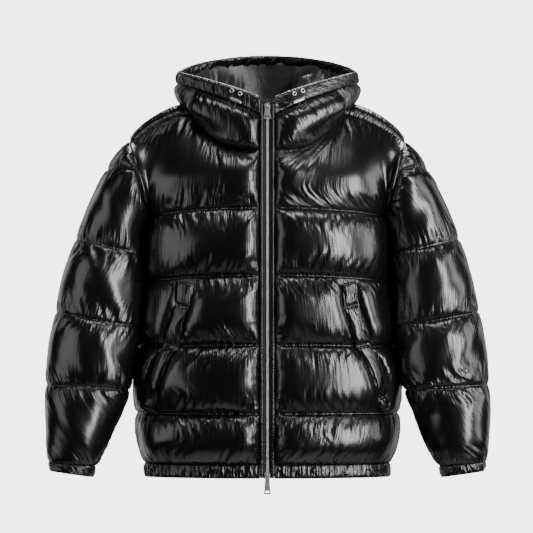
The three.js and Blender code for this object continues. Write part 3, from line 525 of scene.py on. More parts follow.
@dataclass(frozen=True)
class Gathers:
    """How sewn cloth wrinkles beside its seams, in millimetres."""

    crease: float = 0.8
    crease_width: float = 4.0
    short_length: float = 6.0
    short_height: float = 2.0
    short_reach: float = 15.0
    long_length: float = 9.0
    long_height: float = 3.1
    long_start: float = 15.0
    long_reach: float = 21.0
    lean: float = 0.45
    fold_length: float = 92.0
    fold_height: float = 5.0
    drag_length: float = 60.0
    drag_height: float = 1.0


@dataclass(frozen=True)
class Drape:
    """How every panel's folds and gathers wander, and how they rise from the seams and edges."""

    wander: Waves = Waves(9.0, 55.0, 38.0)
    fold_rise: tuple[float, float] = (4.0, 6.0)
    full_puff: float = 12.0
    fold_start: float = 11.0
    fold_shape: float = 0.62
    drag_slant: tuple[float, float] = (0.6, 0.8)
    drag_turn: float = 0.5
    drag_reach: float = 120.0
    swing: Waves = Waves(4.0, 130.0, 90.0, (5.0, 0.0))
    sway: Waves = Waves(6.0, 47.0, 60.0, (3.0, 0.0))
    uneven: Waves = Waves(1.0, 17.0, 70.0, (0.0, 9.0))
    least_reach: float = 0.35
    reach_spread: float = 0.6
    short_sway: float = 0.5
    short_run: float = 55.0
    long_run: float = 80.0
    long_row: float = 7.0
    side_run: float = 40.0
    side_row: float = 31.0
    trough: float = 0.4
    fine_rise: tuple[float, float] = (3.0, 4.0)
    flat_share: float = 0.35
    fine_puff: float = 9.0

    def rises(self, d: Grid, e: Grid, is_fine: bool) -> Grid:
        """A share that grows from 0 at the seams and edges, for the fine gathers or the folds."""
        seam, edge = self.fine_rise if is_fine else self.fold_rise
        return (1 - np.exp(-d / seam)) * (1 - np.exp(-e / edge))


DRAPE = Drape()


@dataclass
class Panel:
    """One sewn panel: a plain base, its swelling, and the rows where its quilting seams run."""

    name: str
    base: Grid
    puff: Grid
    seams: Sequence[int]
    seed: int
    is_tube: bool = False
    gathers: Gathers = Gathers()
    wall: float = 2.6
    fill: float = 0.7
    cap: float = 8.0
    edges_pucker: float = 0.6
    refined: bool = True
    growth: float = 1.1
    shape: Grid = field(init=False)
    normals: Grid = field(init=False)
    along: Grid = field(init=False)
    from_seam: Grid = field(init=False)
    from_edge: Grid = field(init=False)
    height: Grid = field(init=False)
    inside: Grid | None = None
    held: Grid | None = None
    lively: Grid | float = 1.0

    def __post_init__(self) -> None:
        """Measures the panel and gives its outside a wrinkled, filled shape."""
        self.normals = grid_normals(self.base, self.is_tube)
        self.height, self.along = measured(self.base, 0), measured(self.base, 1)
        self.from_seam = np.min([np.abs(self.height - self.height[row]) for row in self.seams], axis=0)
        self.from_edge = np.minimum(self.along, self.along[:, -1:] - self.along)
        self.shape = self.base + self.normals * self._relief()[..., None]

    def noises(self) -> list[Ripple]:
        """The panel's own noises, for its short gathers, its long ones and its soft folds."""
        return [Ripple(self.seed * SEED_STEP + n) for n in range(3)]

    def _relief(self) -> Grid:
        """The outside's height over the base at each point."""
        g = self.gathers
        _, long, soft = self.noises()
        s, d, h, e = self.along, self.from_seam, self.height, self.from_edge
        bend = DRAPE.wander.over(soft, s, h)
        rises = DRAPE.rises(d, e, False) * np.clip(self.puff / DRAPE.full_puff, 0, 1)
        folds = soft.at(s / g.fold_length + DRAPE.fold_start, h / (g.fold_length * DRAPE.fold_shape))
        slant = s * DRAPE.drag_slant[0] + h * DRAPE.drag_slant[1] + bend
        drags = long.ridges(slant / g.drag_length, (h * DRAPE.drag_turn - s) / DRAPE.drag_reach)
        crease = g.crease * np.exp(-((d / g.crease_width) ** 2))
        return self.puff + rises * (folds * g.fold_height + drags * g.drag_height) - crease

    def _puckers(self, s: Grid, h: Grid, d: Grid, e: Grid, puff: Grid, lively: Grid) -> Grid:
        """The sewn cloth's fine gathers, which fan out from the seams.

        Args:
            s: The way along the seams.
            h: The height over the lower edge.
            d: The distance from the nearest seam.
            e: The distance from the nearest edge.
            puff: The swelling.
            lively: How strong the long gathers are.
        """
        g = self.gathers
        short, long, soft = self.noises()
        turn = np.tanh(DRAPE.swing.over(soft, s, h))
        bend = DRAPE.sway.over(soft, s, h) + g.lean * np.minimum(d, 2 * g.long_reach) * turn
        reach = DRAPE.least_reach + DRAPE.reach_spread * (1 + DRAPE.uneven.over(soft, s, h))
        near = short.ridges((s + bend * DRAPE.short_sway) / g.short_length, h / DRAPE.short_run)
        near = near * np.exp(-d / (g.short_reach * reach))
        fade = np.exp(-(((d - g.long_start) / (g.long_reach * reach)) ** 2))
        far = long.ridges((s + bend) / g.long_length, h / DRAPE.long_run + DRAPE.long_row)
        far = lively * (far - DRAPE.trough) * fade
        side = (h + bend * DRAPE.short_sway) / g.long_length + DRAPE.side_row
        side = short.ridges(side, e / DRAPE.side_run) - DRAPE.trough
        side = self.edges_pucker * side * np.exp(-((e / g.short_reach) ** 2))
        gathers = DRAPE.rises(d, e, True) * (near * g.short_height + (far + side) * g.long_height)
        return gathers * np.clip(DRAPE.flat_share + puff / DRAPE.fine_puff, 0, 1)

    def pins(self) -> Grid:
        """Which points sewing holds: the seams, the edges and what is held besides."""
        held = np.zeros(self.base.shape[:2], bool) if self.held is None else self.held.copy()
        held[list(self.seams)] = True
        held[0] = held[-1] = True
        if not self.is_tube:
            held[:, 0] = held[:, -1] = True
        return held

    def settle(self, moved: Grid) -> None:
        """Takes the simulated outside, no point further than the cap from where it was.

        Args:
            moved: The simulated points, in millimetres.
        """
        travel = moved - self.shape
        far = np.linalg.norm(travel, axis=-1, keepdims=True)
        share = self.cap * np.tanh(far / self.cap) / np.maximum(far, LEAST_TRAVEL)
        self.shape = self.shape + travel * share

    def finish(self, finish: "Finish", slot: str, replaced: Sequence[str] = ()) -> Piece:
        """Makes the closed padded piece.

        Args:
            finish: Its material.
            slot: Not used.
            replaced: CAD nodes it stands for, its own name if none is given.
        """
        tube = self.is_tube
        lively = self.lively + 0 * self.puff
        sizes = np.stack([self.along, self.height, self.from_seam, self.from_edge, self.puff, lively], -1)
        depth = -self.wall if self.inside is None else self.inside[..., None]
        outer, inner = self.shape, self.base + self.normals * depth
        if self.refined:
            sizes, outer, inner = (finer(grid, tube) for grid in (sizes, outer, inner))
        relief = self._puckers(*np.moveaxis(sizes, -1, 0))
        outer = outer + grid_normals(outer, tube) * relief[..., None]
        obj = Cloth.wall(self.name + "_sewn", outer, inner, tube)
        both = np.concatenate([sizes.reshape(-1, sizes.shape[-1])] * 2)
        Cloth.mark(obj, "seam_distance", both[:, 2])
        Cloth.unwrap(obj, both[:, :2])
        return dress(obj, finish, replaced or [self.name])


def dress(obj: Piece, finish: "Finish", replaced: Sequence[str] = (),
          body: str = BODY) -> Piece:
    """Gives a piece its material, its body and the nodes it stands for.

    Args:
        obj: The piece.
        finish: Its finish.
        replaced: CAD nodes that it replaces.
        body: The body it rides on.

    Returns:
        The same piece.
    """
    obj.data.materials.clear()
    obj.data.materials.append(finish.material())
    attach(obj, body)
    if replaced:
        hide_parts(*replaced)
    LOG.info("%s: %d points", obj.name, len(obj.data.vertices) if obj.type == "MESH" else 0)
    return obj


@dataclass(frozen=True)
class Filling:
    """Cloth simulation that blows the panels up between their sewn seams."""

    frames: int = 16
    pressure: float = 3.5
    stiffness: float = 12.0
    bending: float = 0.35
    steps: int = 5
    mass: float = 0.2

    def blow(self, panels: Sequence[Panel]) -> None:
        """Simulates every panel at once and takes the results.

        Args:
            panels: The panels, each with its starting shape.
        """
        scene = bpy.context.scene
        sheets = [self._sheet(panel) for panel in panels]
        scene.frame_start, scene.frame_end = 1, self.frames
        for number in range(1, self.frames + 1):
            scene.frame_set(number)
        graph = bpy.context.evaluated_depsgraph_get()
        for panel, sheet in zip(panels, sheets):
            sheet.active_shape_key_index = 0
            mesh = sheet.evaluated_get(graph).to_mesh()
            flat = np.empty(len(mesh.vertices) * 3, np.float32)
            mesh.vertices.foreach_get("co", flat)
            panel.settle(flat.reshape(panel.base.shape).astype(float) / MM)
        for sheet in sheets:
            mesh = sheet.data
            bpy.data.objects.remove(sheet)
            bpy.data.meshes.remove(mesh)
        scene.frame_set(1)

    def _sheet(self, panel: Panel) -> Piece:
        """A pinned sheet with its cloth modifier."""
        sheet = Cloth.sheet(panel.name + "_sheet", panel.shape, panel.is_tube)
        group = sheet.vertex_groups.new(name="sewn")
        group.add(np.flatnonzero(panel.pins().ravel()).tolist(), 1.0, "REPLACE")
        sheet.shape_key_add(name="filled")
        cut = sheet.shape_key_add(name="cut")
        middle = panel.shape.mean(axis=1, keepdims=True)
        wide = middle + (panel.shape - middle) * panel.growth
        cut.data.foreach_set("co", (wide.reshape(-1) * MM).astype(np.float32))
        cloth = sheet.modifiers.new("cloth", "CLOTH")
        settings = cloth.settings
        settings.quality = self.steps
        settings.mass = self.mass
        settings.vertex_group_mass = group.name
        settings.rest_shape_key = cut
        settings.tension_stiffness = settings.compression_stiffness = self.stiffness
        settings.shear_stiffness = self.stiffness / 2
        settings.bending_stiffness = self.bending
        settings.use_pressure = True
        settings.uniform_pressure_force = self.pressure
        settings.effector_weights.gravity = 0
        cloth.point_cache.frame_start, cloth.point_cache.frame_end = 1, self.frames
        return sheet


@dataclass(frozen=True)
class Expr:
    """A number's socket in a shader tree; arithmetic on it adds Math nodes."""

    tree: bpy.types.NodeTree
    socket: Socket

    def _math(self, operation: str, *values: Any) -> "Expr":
        """Adds one Math node.

        Args:
            operation: The node's operation.
            values: Its inputs, numbers or expressions.
        """
        node = self.tree.nodes.new("ShaderNodeMath")
        node.operation = operation
        for place, value in enumerate(values):
            if isinstance(value, Expr):
                self.tree.links.new(value.socket, node.inputs[place])
            else:
                node.inputs[place].default_value = value
        return Expr(self.tree, node.outputs[0])

    def __add__(self, other: Any) -> "Expr":
        """This plus other."""
        return self._math("ADD", self, other)

    __radd__ = __add__

    def __sub__(self, other: Any) -> "Expr":
        """This less other."""
        return self._math("SUBTRACT", self, other)

    def __rsub__(self, other: Any) -> "Expr":
        """Other less this."""
        return self._math("SUBTRACT", other, self)

    def __mul__(self, other: Any) -> "Expr":
        """This times other."""
        return self._math("MULTIPLY", self, other)

    __rmul__ = __mul__

    def __pow__(self, other: Any) -> "Expr":
        """This to a power."""
        return self._math("POWER", self, other)

    def sine(self) -> "Expr":
        """The sine of this, in radians."""
        return self._math("SINE", self)

    def falloff(self, reach: float) -> "Expr":
        """A share that falls from 1 at zero as this grows past reach."""
        return self._math("EXPONENT", self * (-1 / reach))


class Nodes:
    """A node tree, with one method that makes any node."""

    KIND = ""
    tree: bpy.types.NodeTree

    def node(self, kind: str, settings: dict[str, Any] | None = None,
             sockets: dict[str | int, Any] | None = None) -> bpy.types.Node:
        """Makes a node.

        Args:
            kind: The type's name, after what all the tree's types begin with.
            settings: Its own settings.
            sockets: Values or links for its sockets.
        """
        node = self.tree.nodes.new(self.KIND + kind)
        for key, value in (settings or {}).items():
            setattr(node, key, value)
        for key, value in (sockets or {}).items():
            self.put(node.inputs[key], value)
        return node

    def put(self, socket: Socket, value: Any) -> None:
        """Sets a socket to a number, or links an expression or output to it."""
        if isinstance(value, Expr):
            self.tree.links.new(value.socket, socket)
        elif isinstance(value, Socket):
            self.tree.links.new(value, socket)
        else:
            socket.default_value = value


@dataclass(frozen=True)
class Grain:
    """A noise: its repeats a metre, for all axes or for each, its detail and its warp."""

    scale: float | Triple
    detail: float = 3
    warp: float = 0


@dataclass(frozen=True)
class Shine:
    """A finish's roughness: its least, and how much each of two noises adds."""

    least: float
    first: float = 0.0
    second: float = 0.0

    def over(self, first: Expr, second: Expr | None = None) -> Expr:
        """The roughness where the noises have these values."""
        both = first * self.first if second is None else first * self.first + second * self.second
        return both + self.least


class Shader(Nodes):
    """A material's node tree."""

    KIND = "ShaderNode"
    MIX_SOCKETS = (0, 6, 7)

    def __init__(self, name: str) -> None:
        """Starts a material.

        Args:
            name: The material's name.
        """
        self.material = bpy.data.materials.new(name)
        self.material.use_nodes = True
        self.tree = self.material.node_tree
        self.tree.nodes.clear()
        self.surface = self.node("BsdfPrincipled")
        output = self.node("OutputMaterial")
        self.tree.links.new(self.surface.outputs[0], output.inputs["Surface"])

    def number(self, socket: Socket) -> Expr:
        """Wraps an output for arithmetic."""
        return Expr(self.tree, socket)

    def attribute(self, name: str) -> Expr:
        """A number stored on the piece's points."""
        return self.number(self.node("Attribute", {"attribute_name": name}).outputs["Fac"])

    def place(self, uv: str | None = None) -> Socket:
        """Object coordinates, or the piece's own map."""
        if uv:
            return self.node("UVMap", {"uv_map": uv}).outputs["UV"]
        return self.node("TexCoord").outputs["Object"]

    def noise(self, where: Socket, grain: Grain) -> Expr:
        """Noise, 0 to 1, with a grain."""
        scale = grain.scale
        if isinstance(scale, tuple):
            where, scale = self.node("Mapping", None, {"Vector": where, "Scale": scale}).outputs[0], 1
        sockets = {"Vector": where, "Scale": scale, "Detail": grain.detail, "Distortion": grain.warp}
        return self.number(self.node("TexNoise", None, sockets).outputs["Fac"])

    def bump(self, height: Expr, distance: float, strength: float = 1.0,
             below: Socket | None = None) -> Socket:
        """A bump's normal, over another bump's if one is given."""
        sockets = {"Height": height, "Distance": distance, "Strength": strength}
        if below is not None:
            sockets["Normal"] = below
        return self.node("Bump", None, sockets).outputs[0]

    def blend(self, share: Expr, colour: Sequence[float], low: float, high: float) -> Socket:
        """A colour between a darker and a lighter share of itself.

        Args:
            share: How far it is from the darker to the lighter.
            colour: The colour.
            low: The darker one's share of it.
            high: The lighter one's share.
        """
        ends = [tuple(level * part for part in colour) + (1,) for level in (low, high)]
        factor, first, second = self.MIX_SOCKETS
        sockets = {factor: share, first: ends[0], second: ends[1]}
        return self.node("Mix", {"data_type": "RGBA"}, sockets).outputs[2]

    def finish(self, **values: Any) -> bpy.types.Material:
        """Sets the surface's sockets by name, with spaces as underscores."""
        for key, value in values.items():
            self.put(self.surface.inputs[key.replace("_", " ")], value)
        return self.material


@dataclass(frozen=True)
class Finish:
    """A finish: a named material, made once."""

    name: str

    def material(self) -> bpy.types.Material:
        """The finish's material, made when first asked for."""
        return bpy.data.materials.get(self.name) or self.make(Shader(self.name))

    def make(self, shader: Shader) -> bpy.types.Material:
        """Fills the shader and returns its material."""
        raise NotImplementedError


@dataclass(frozen=True)
class GlossyNylon(Finish):
    """The shell: thin black down-proof nylon with a calendered shine."""

    colour: Triple = (0.002, 0.002, 0.0022)
    worn: float = 1.5
    shine: Shine = Shine(0.185, 0.09, 0.06)
    gathers: Grain = Grain((230, 17, 1), 2, 0.3)
    gathers_depth: float = 0.0033
    gathers_reach: float = 0.024
    crumples: Grain = Grain((80, 17, 1), 3, 0.7)
    crumples_bump: tuple[float, float] = (0.0017, 0.2)
    weave: Grain = Grain((1900, 1900, 1), 1)
    weave_bump: tuple[float, float] = (0.00003, 0.35)
    wear: Grain = Grain(9)
    ior: float = 1.55

    def make(self, shader: Shader) -> bpy.types.Material:
        """Fine gathers beside the seams, soft crumples, a faint weave and a varied shine."""
        cloth, solid = shader.place("cloth"), shader.place()
        seam = shader.attribute("seam_distance")
        gathers = shader.noise(cloth, self.gathers)
        normal = shader.bump(gathers * seam.falloff(self.gathers_reach), self.gathers_depth)
        crumple = shader.noise(cloth, self.crumples)
        normal = shader.bump(crumple, *self.crumples_bump, normal)
        normal = shader.bump(shader.noise(cloth, self.weave), *self.weave_bump, normal)
        wear = shader.noise(solid, self.wear)
        tint = shader.blend(wear, self.colour, 1, self.worn)
        roughness = self.shine.over(wear, crumple)
        return shader.finish(Base_Color=tint, Roughness=roughness, Normal=normal, IOR=self.ior)


@dataclass(frozen=True)
class LiningNylon(Finish):
    """The lining: dark plain-weave nylon, duller than the shell."""

    colour: Triple = (0.01, 0.01, 0.011)
    # Painted shade: how much lighter the crumples' crests are than their hollows.
    worn: float = 1.7
    shine: Shine = Shine(0.36, 0.12)
    crumples: Grain = Grain(46, 4, 0.8)
    crumples_bump: tuple[float, float] = (0.0022, 0.5)

    def make(self, shader: Shader) -> bpy.types.Material:
        """Soft crumples with painted shade in their hollows, and a dull shine."""
        crumple = shader.noise(shader.place(), self.crumples)
        normal = shader.bump(crumple, *self.crumples_bump)
        # Painted shade: the colour darkens into the hollows of the crumples' bump.
        shade = shader.blend(crumple, self.colour, 1, self.worn)
        return shader.finish(Base_Color=shade, Roughness=self.shine.over(crumple), Normal=normal)


@dataclass(frozen=True)
class RibbedWeave(Finish):
    """Matt woven tape, cord or thread: fine ribs across a dark yarn."""

    colour: Triple = (0.012, 0.012, 0.013)
    pitch: float = 0.0011
    depth: float = 0.0002
    roughness: float = 0.72
    fuzz_share: float = 0.15
    worn: float = 2.0
    ribs_up: float = 0.5
    ribs_across: float = 0.35
    across_pitch: float = 1.4
    strength: float = 0.8
    fuzz: Grain = Grain(900, 2)

    def make(self, shader: Shader) -> bpy.types.Material:
        """Ribs across and along, with loose fibre."""
        solid = shader.place()
        parts = shader.node("SeparateXYZ", None, {0: solid})
        x, z = shader.number(parts.outputs["X"]), shader.number(parts.outputs["Z"])
        turns = 2 * math.pi / self.pitch
        ribs = (z * turns).sine() * self.ribs_up + (x * turns * self.across_pitch).sine() * self.ribs_across
        fuzz = shader.noise(solid, self.fuzz)
        normal = shader.bump(ribs + fuzz, self.depth, self.strength)
        shade = shader.blend(fuzz, self.colour, 1, self.worn)
        shine = Shine(self.roughness, self.fuzz_share)
        return shader.finish(Base_Color=shade, Roughness=shine.over(fuzz), Normal=normal)


@dataclass(frozen=True)
class PlatedMetal(Finish):
    """Nickel-plated zinc: teeth, sliders, pull tabs and eyelets."""

    colour: Triple = (0.66, 0.65, 0.63)
    dull: float = 0.75
    shine: Shine = Shine(0.26, 0.16, 0.08)
    brushing: Grain = Grain((2600, 500, 700), 2)
    patches: Grain = Grain(160)
    dents_bump: tuple[float, float] = (0.00005, 0.5)

    def make(self, shader: Shader) -> bpy.types.Material:
        """Fine brushing, small dents and dull patches."""
        solid = shader.place()
        brushed, patches = shader.noise(solid, self.brushing), shader.noise(solid, self.patches)
        normal = shader.bump(brushed + patches, *self.dents_bump)
        shade = shader.blend(patches, self.colour, self.dull, 1)
        roughness = self.shine.over(patches, brushed)
        return shader.finish(Base_Color=shade, Roughness=roughness, Metallic=1.0, Normal=normal)


FORM = JacketForm()
SHELL = GlossyNylon("glossy_shell_nylon")
LINING = LiningNylon("plain_lining_nylon")
TAPE = RibbedWeave("woven_zip_tape", (0.004, 0.004, 0.0045))
BRAID = RibbedWeave("braided_drawcord", (0.016, 0.016, 0.017), 0.0009, 0.00025, 0.6)
THREAD = RibbedWeave("sewing_thread", (0.02, 0.02, 0.022), 0.0005, 0.00008, 0.45)
METAL = PlatedMetal("plated_zinc")
LEAST_ROWS = 5
CROWDING = 0.55
SAMPLES = 200
STRIP_SAMPLES = 60
RING_SAMPLES = 1500
WRIST_SAMPLES = 700
SEEDS = {
    "front": 3, "back": 9, "shoulder_strip": 15, "sleeve": 21, "collar": 27, "hood_side": 33,
    "hood_center": 39, "hem": 51, "cuff": 55, "rim": 61, "pocket_welt": 71, "piping": 83,
    "lining_folds": 91, "lining_creases": 93,
}


def seam_rows(heights: Sequence[float], pitch: float) -> tuple[Grid, list[int]]:
    """Row places that count seams and crowd towards them.

    Args:
        heights: Each channel's height.
        pitch: The spacing between rows.

    Returns:
        The places, and the numbers of the rows on seams.
    """
    rows, seams = [0.0], [0]
    for number, height in enumerate(heights):
        t = np.linspace(0, 1, max(LEAST_ROWS, round(height / pitch)) + 1)[1:]
        rows += list(number + lerp(t, 0.5 - 0.5 * np.cos(np.pi * t), CROWDING))
        seams.append(len(rows) - 1)
    return np.array(rows), seams


@dataclass(frozen=True)
class WeltOutline:
    """Where a pocket's welt runs on a front, and its cross seams, counted in quilting seams."""

    heights: tuple[float, ...] = (1.04, 1.24, 2.0, 2.2, 2.59, 2.95)
    inside: tuple[float, ...] = (0.6, 0.565, 0.42, 0.388, 0.34, 0.335)
    outside: tuple[float, ...] = (0.72, 0.685, 0.545, 0.515, 0.455, 0.455)
    crossings: tuple[float, ...] = (1.04, 1.24, 2.03, 2.59, 2.95)
    slant: float = 0.035

    def across(self, v: Grid, share: Grid) -> Grid:
        """The front's own share at a share of the welt's width."""
        return lerp(np.interp(v, self.heights, self.inside), np.interp(v, self.heights, self.outside), share)

    def beside(self, u: Grid, v: Grid) -> Grid:
        """How far a place on the front is from the welt, in shares of the front."""
        off = np.maximum(self.across(v, 0 * v) - u, u - self.across(v, 0 * v + 1))
        past = np.maximum(self.heights[0] - v, v - self.heights[-1])
        return np.where(past > 0, np.hypot(np.maximum(off, 0), past), np.maximum(off, 0))


WELT = WeltOutline()


def turned(grid: Grid, side: Side) -> Grid:
    """A right side's points or numbers, turned round for the left side."""
    if side is Side.RIGHT:
        return grid
    return flipped(grid)[:, ::-1] if grid.ndim == 3 else grid[:, ::-1]


def sided_panel(kind: str, side: Side, base: Grid, puff: Grid, seams: Sequence[int], **rest: Any) -> Panel:
    """A panel of a pair, from the right side's points.

    Args:
        kind: Its name without the side.
        side: Its side.
        base: Its plain points on the right side.
        puff: Its swelling there.
        seams: Its rows on seams.
        **rest: The panel's other values.
    """
    seed = SEEDS[kind] + side.value
    return Panel(f"{kind}_{side.word}", turned(base, side), turned(puff, side), seams, seed, **rest)


@dataclass
class QuiltedShell:
    """The body, shoulders, sleeves, collar and hood: quilted channels filled between their seams."""

    pitch: float = 6.0
    body_middle: float = 25.0
    body_side: float = 8.0
    side_level: float = 0.75
    placket_roll: float = 42.0
    under_collar: float = 0.45
    sleeve_face: float = 15.0
    sleeve_outer: float = 4.0
    sleeve_inner: float = 9.0
    inner_level: float = 0.8
    strip_puff: float = 12.0
    strip_roll: float = 60.0
    strip_end: float = 55.0
    collar_puff: float = 24.0
    collar_rest: float = 0.1
    collar_roll: float = 34.0
    collar_slant: float = 50.0
    hood_side_puff: float = 1.5
    hood_low_puff: float = 14.0
    hood_back_puff: float = 7.0
    hood_low: tuple[float, float] = (0.32, 0.3)
    hood_roll: float = 0.2
    hood_crowding: float = 0.4
    yoke_height: float = 140.0
    yoke_ease: float = 0.25
    yoke_turns: int = 160
    front_fade: float = 1.5
    back_fade: float = 4.0
    front_length: float = 310.0
    count_at: float = 2.5
    side_from: float = 0.5
    level_from: float = 0.8
    level_width: float = 0.2
    under_rise: tuple[float, float] = (0.2, 0.6)
    rest_rise: tuple[float, float] = (0.3, 0.4)
    calm_start: float = 0.42
    calm_width: float = 0.15
    side_calm: float = 0.75
    welt_depth: float = 0.4
    welt_roll: float = 26.0
    sleeve_round: float = 420.0
    sleeve_start: float = 200.0
    strip_pitch: float = 4.5
    strip_rows: int = 15
    ring_rows: int = 27
    collar_columns: int = 38
    hood_side_columns: int = 52
    hood_center_columns: int = 34
    filling: Filling = Filling()
    panels: dict[str, Panel] = field(default_factory=dict)

    def build(self) -> None:
        """Shapes every panel, blows them up together and makes the pieces."""
        for side in Side:
            self._add(self._front(side), self._strip(side), self._sleeve(side), self._collar(side),
                      self._hood_side(side))
        self._add(self._back(), self._hood_center())
        self.filling.blow([panel for panel in self.panels.values() if panel.growth > 1])
        for panel in self.panels.values():
            panel.finish(SHELL, "shell")

    def _add(self, *panels: Panel) -> None:
        """Keeps panels by name."""
        self.panels.update({panel.name: panel for panel in panels})

    def body_rows(self) -> tuple[Grid, list[int]]:
        """The body's row places and the numbers of the rows on seams."""
        return seam_rows([*np.diff(FORM.body_seams[:, 0]), self.yoke_height], self.pitch)

    def _over_chest(self, patch: Patch, plain: Callable[[Grid, Grid], Grid], u: Grid, v: Grid) -> Grid:
        """Points of a front or back: plain sections up to the chest, and the yoke's patch over it.

        Args:
            patch: The yoke's patch.
            plain: The plain sections' points at shares across and places up.
            u: Shares across.
            v: Places, counting seams.
        """
        yoke = patch.at(u, np.clip(v - FORM.chest, 0, 1))
        return np.where((v <= FORM.chest)[..., None], plain(u, np.minimum(v, FORM.chest)), yoke)

    def front_at(self, u: Grid, v: Grid) -> Grid:
        """The right front without its swelling, u from placket to side, v counting seams."""

        def plain(a: Grid, b: Grid) -> Grid:
            """The sections under the chest, from the placket to the side."""
            return FORM.body(lerp(FORM.front_start(b), 90, a), b)

        def chest(a: Grid) -> Grid:
            """The chest's seam."""
            return plain(a, np.zeros_like(a) + FORM.chest)

        def top(a: Grid) -> Grid:
            """The neck's seam, then the shoulder's."""
            first = FORM.hood_edge(np.zeros(1))[0]
            angle = lerp(first, FORM.collar_end, np.clip(a / FORM.front_neck, 0, 1))
            out = FORM.shoulder(np.clip((a - FORM.front_neck) / (1 - FORM.front_neck), 0, 1), True)
            return np.where((a <= FORM.front_neck)[..., None], FORM.hood(angle, np.zeros_like(a)), out)

        def placket(b: Grid) -> Grid:
            """The straight edge beside the zip."""
            return lerp(chest(np.zeros_like(b)), top(np.zeros_like(b)), b[..., None])

        def armhole(b: Grid) -> Grid:
            """The armhole's front half."""
            return FORM.sleeve(lerp(180, FORM.strip_half_angle, b), np.zeros_like(b))

        return self._over_chest(Patch(chest, top, placket, armhole, self.front_fade), plain, u, v)

    def front_columns(self, count: int) -> Grid:
        """Shares that space a front's columns evenly."""
        dense = np.linspace(0, 1, SAMPLES)
        return even_shares(self.front_at(dense, dense * 0 + self.count_at), count)

    def body_puff(self, width: Grid, v: Grid) -> Grid:
        """The body's swelling, from the middle (0) to a side (1)."""
        share = v - np.minimum(np.floor(v), FORM.top - 1)
        height = lerp(self.body_middle, self.body_side, ease((width - self.side_from) / self.side_from))
        level = ease((width - self.level_from) / self.level_width) * ease(v - 1) * self.side_level
        return height * np.where(v < FORM.chest, lerp(channel(share), 1, level), yoke_channel(share))

    def _eased_yoke(self, base: Grid, v: Grid) -> Grid:
        """Lets the yoke's inside run smoothly between its edges.

        Args:
            base: The panel's plain points.
            v: Their places, counting seams.
        """
        soft = base.copy()
        share = ease((v[1:-1, 1:-1, None] - FORM.chest) / self.yoke_ease) * 0.5
        for _ in range(self.yoke_turns):
            around = (soft[:-2, 1:-1] + soft[2:, 1:-1] + soft[1:-1, :-2] + soft[1:-1, 2:]) / 4
            soft[1:-1, 1:-1] = lerp(soft[1:-1, 1:-1], around, share)
        return soft

    def _front(self, side: Side) -> Panel:
        """A front, from its placket to the side seam and armhole."""
        rows, seams = self.body_rows()
        u, v = np.meshgrid(self.front_columns(round(self.front_length / self.pitch)), rows)
        base = self._eased_yoke(self.front_at(u, v), v)
        start, width = self.under_rise
        under = lerp(1, self.under_collar, ease(u / FORM.front_neck))
        under = lerp(1, under, ease((v - FORM.chest - start) / width))
        puff = self.body_puff(u, v) * under * roll(-FORM.placket_edge - base[..., 0], self.placket_roll)
        beside = WELT.beside(u, v) * self.front_length
        puff = puff * lerp(self.welt_depth, 1, roll(beside, self.welt_roll))
        calm = ease((u - self.calm_start) / self.calm_width) * ease(FORM.chest - v)
        return sided_panel("front", side, base, puff, seams, held=turned(beside <= 0, side),
                           lively=turned(1 - self.side_calm * calm, side))

    def _back(self) -> Panel:
        """The back, from the wearer's right side to the left."""
        rows, seams = self.body_rows()
        rest = FORM.back_shoulder

        def plain(a: Grid, b: Grid) -> Grid:
            """The sections under the chest, from side to side."""
            return FORM.body(lerp(90, 270, a), b)

        def chest(a: Grid) -> Grid:
            """The chest's seam."""
            return plain(a, np.zeros_like(a) + FORM.chest)

        def top(a: Grid) -> Grid:
            """The shoulders' seams with the neck's between them."""
            right = FORM.shoulder(np.clip(1 - a / rest, 0, 1), False)
            left = flipped(FORM.shoulder(np.clip(1 - (1 - a) / rest, 0, 1), False))
            t = np.clip((a - rest) / (1 - 2 * rest), 0, 1)
            neck = FORM.hood(lerp(180 - FORM.collar_end, 180 + FORM.collar_end, t), np.zeros_like(a))
            return np.where((a < rest)[..., None], right, np.where((a > 1 - rest)[..., None], left, neck))

        def armhole(b: Grid) -> Grid:
            """The right armhole's back half."""
            return FORM.sleeve(lerp(-180, -FORM.strip_half_angle, b), np.zeros_like(b))

        dense = np.linspace(0, 1, 2 * SAMPLES)
        count = round(2 * self.front_length / self.pitch)
        u, v = np.meshgrid(even_shares(plain(dense, dense * 0 + self.count_at), count), rows)
        patch = Patch(chest, top, armhole, lambda b: flipped(armhole(b)), self.back_fade)
        base = self._eased_yoke(self._over_chest(patch, plain, u, v), v)
        return Panel("back", base, self.body_puff(np.abs(2 * u - 1), v), seams, SEEDS["back"])

    def _strip(self, side: Side) -> Panel:
        """A shoulder strip, from neck to armhole, between its front and back seams."""
        length = line_length(FORM.shoulder(np.linspace(0, 1, STRIP_SAMPLES), True))
        columns = np.linspace(0, 1, round(length / self.strip_pitch))
        u, v = np.meshgrid(columns, np.linspace(0, 1, self.strip_rows))

        def neck(b: Grid) -> Grid:
            """The end at the neck."""
            return FORM.hood(lerp(FORM.collar_end, 180 - FORM.collar_end, b), np.zeros_like(b))

        def armhole(b: Grid) -> Grid:
            """The end at the armhole."""
            return FORM.sleeve(lerp(FORM.strip_half_angle, -FORM.strip_half_angle, b), np.zeros_like(b))

        patch = Patch(lambda a: FORM.shoulder(a, True), lambda a: FORM.shoulder(a, False), neck, armhole, 1)
        puff = self.strip_puff * channel(v) * roll(u * length, self.strip_roll)
        puff = puff * roll((1 - u) * length, self.strip_end)
        gathers = Gathers(short_height=0.25, long_height=0.5, fold_height=0.8, drag_height=0.3)
        return sided_panel("shoulder_strip", side, patch.at(u, v), puff, [0, len(v) - 1],
                           gathers=gathers, growth=1)

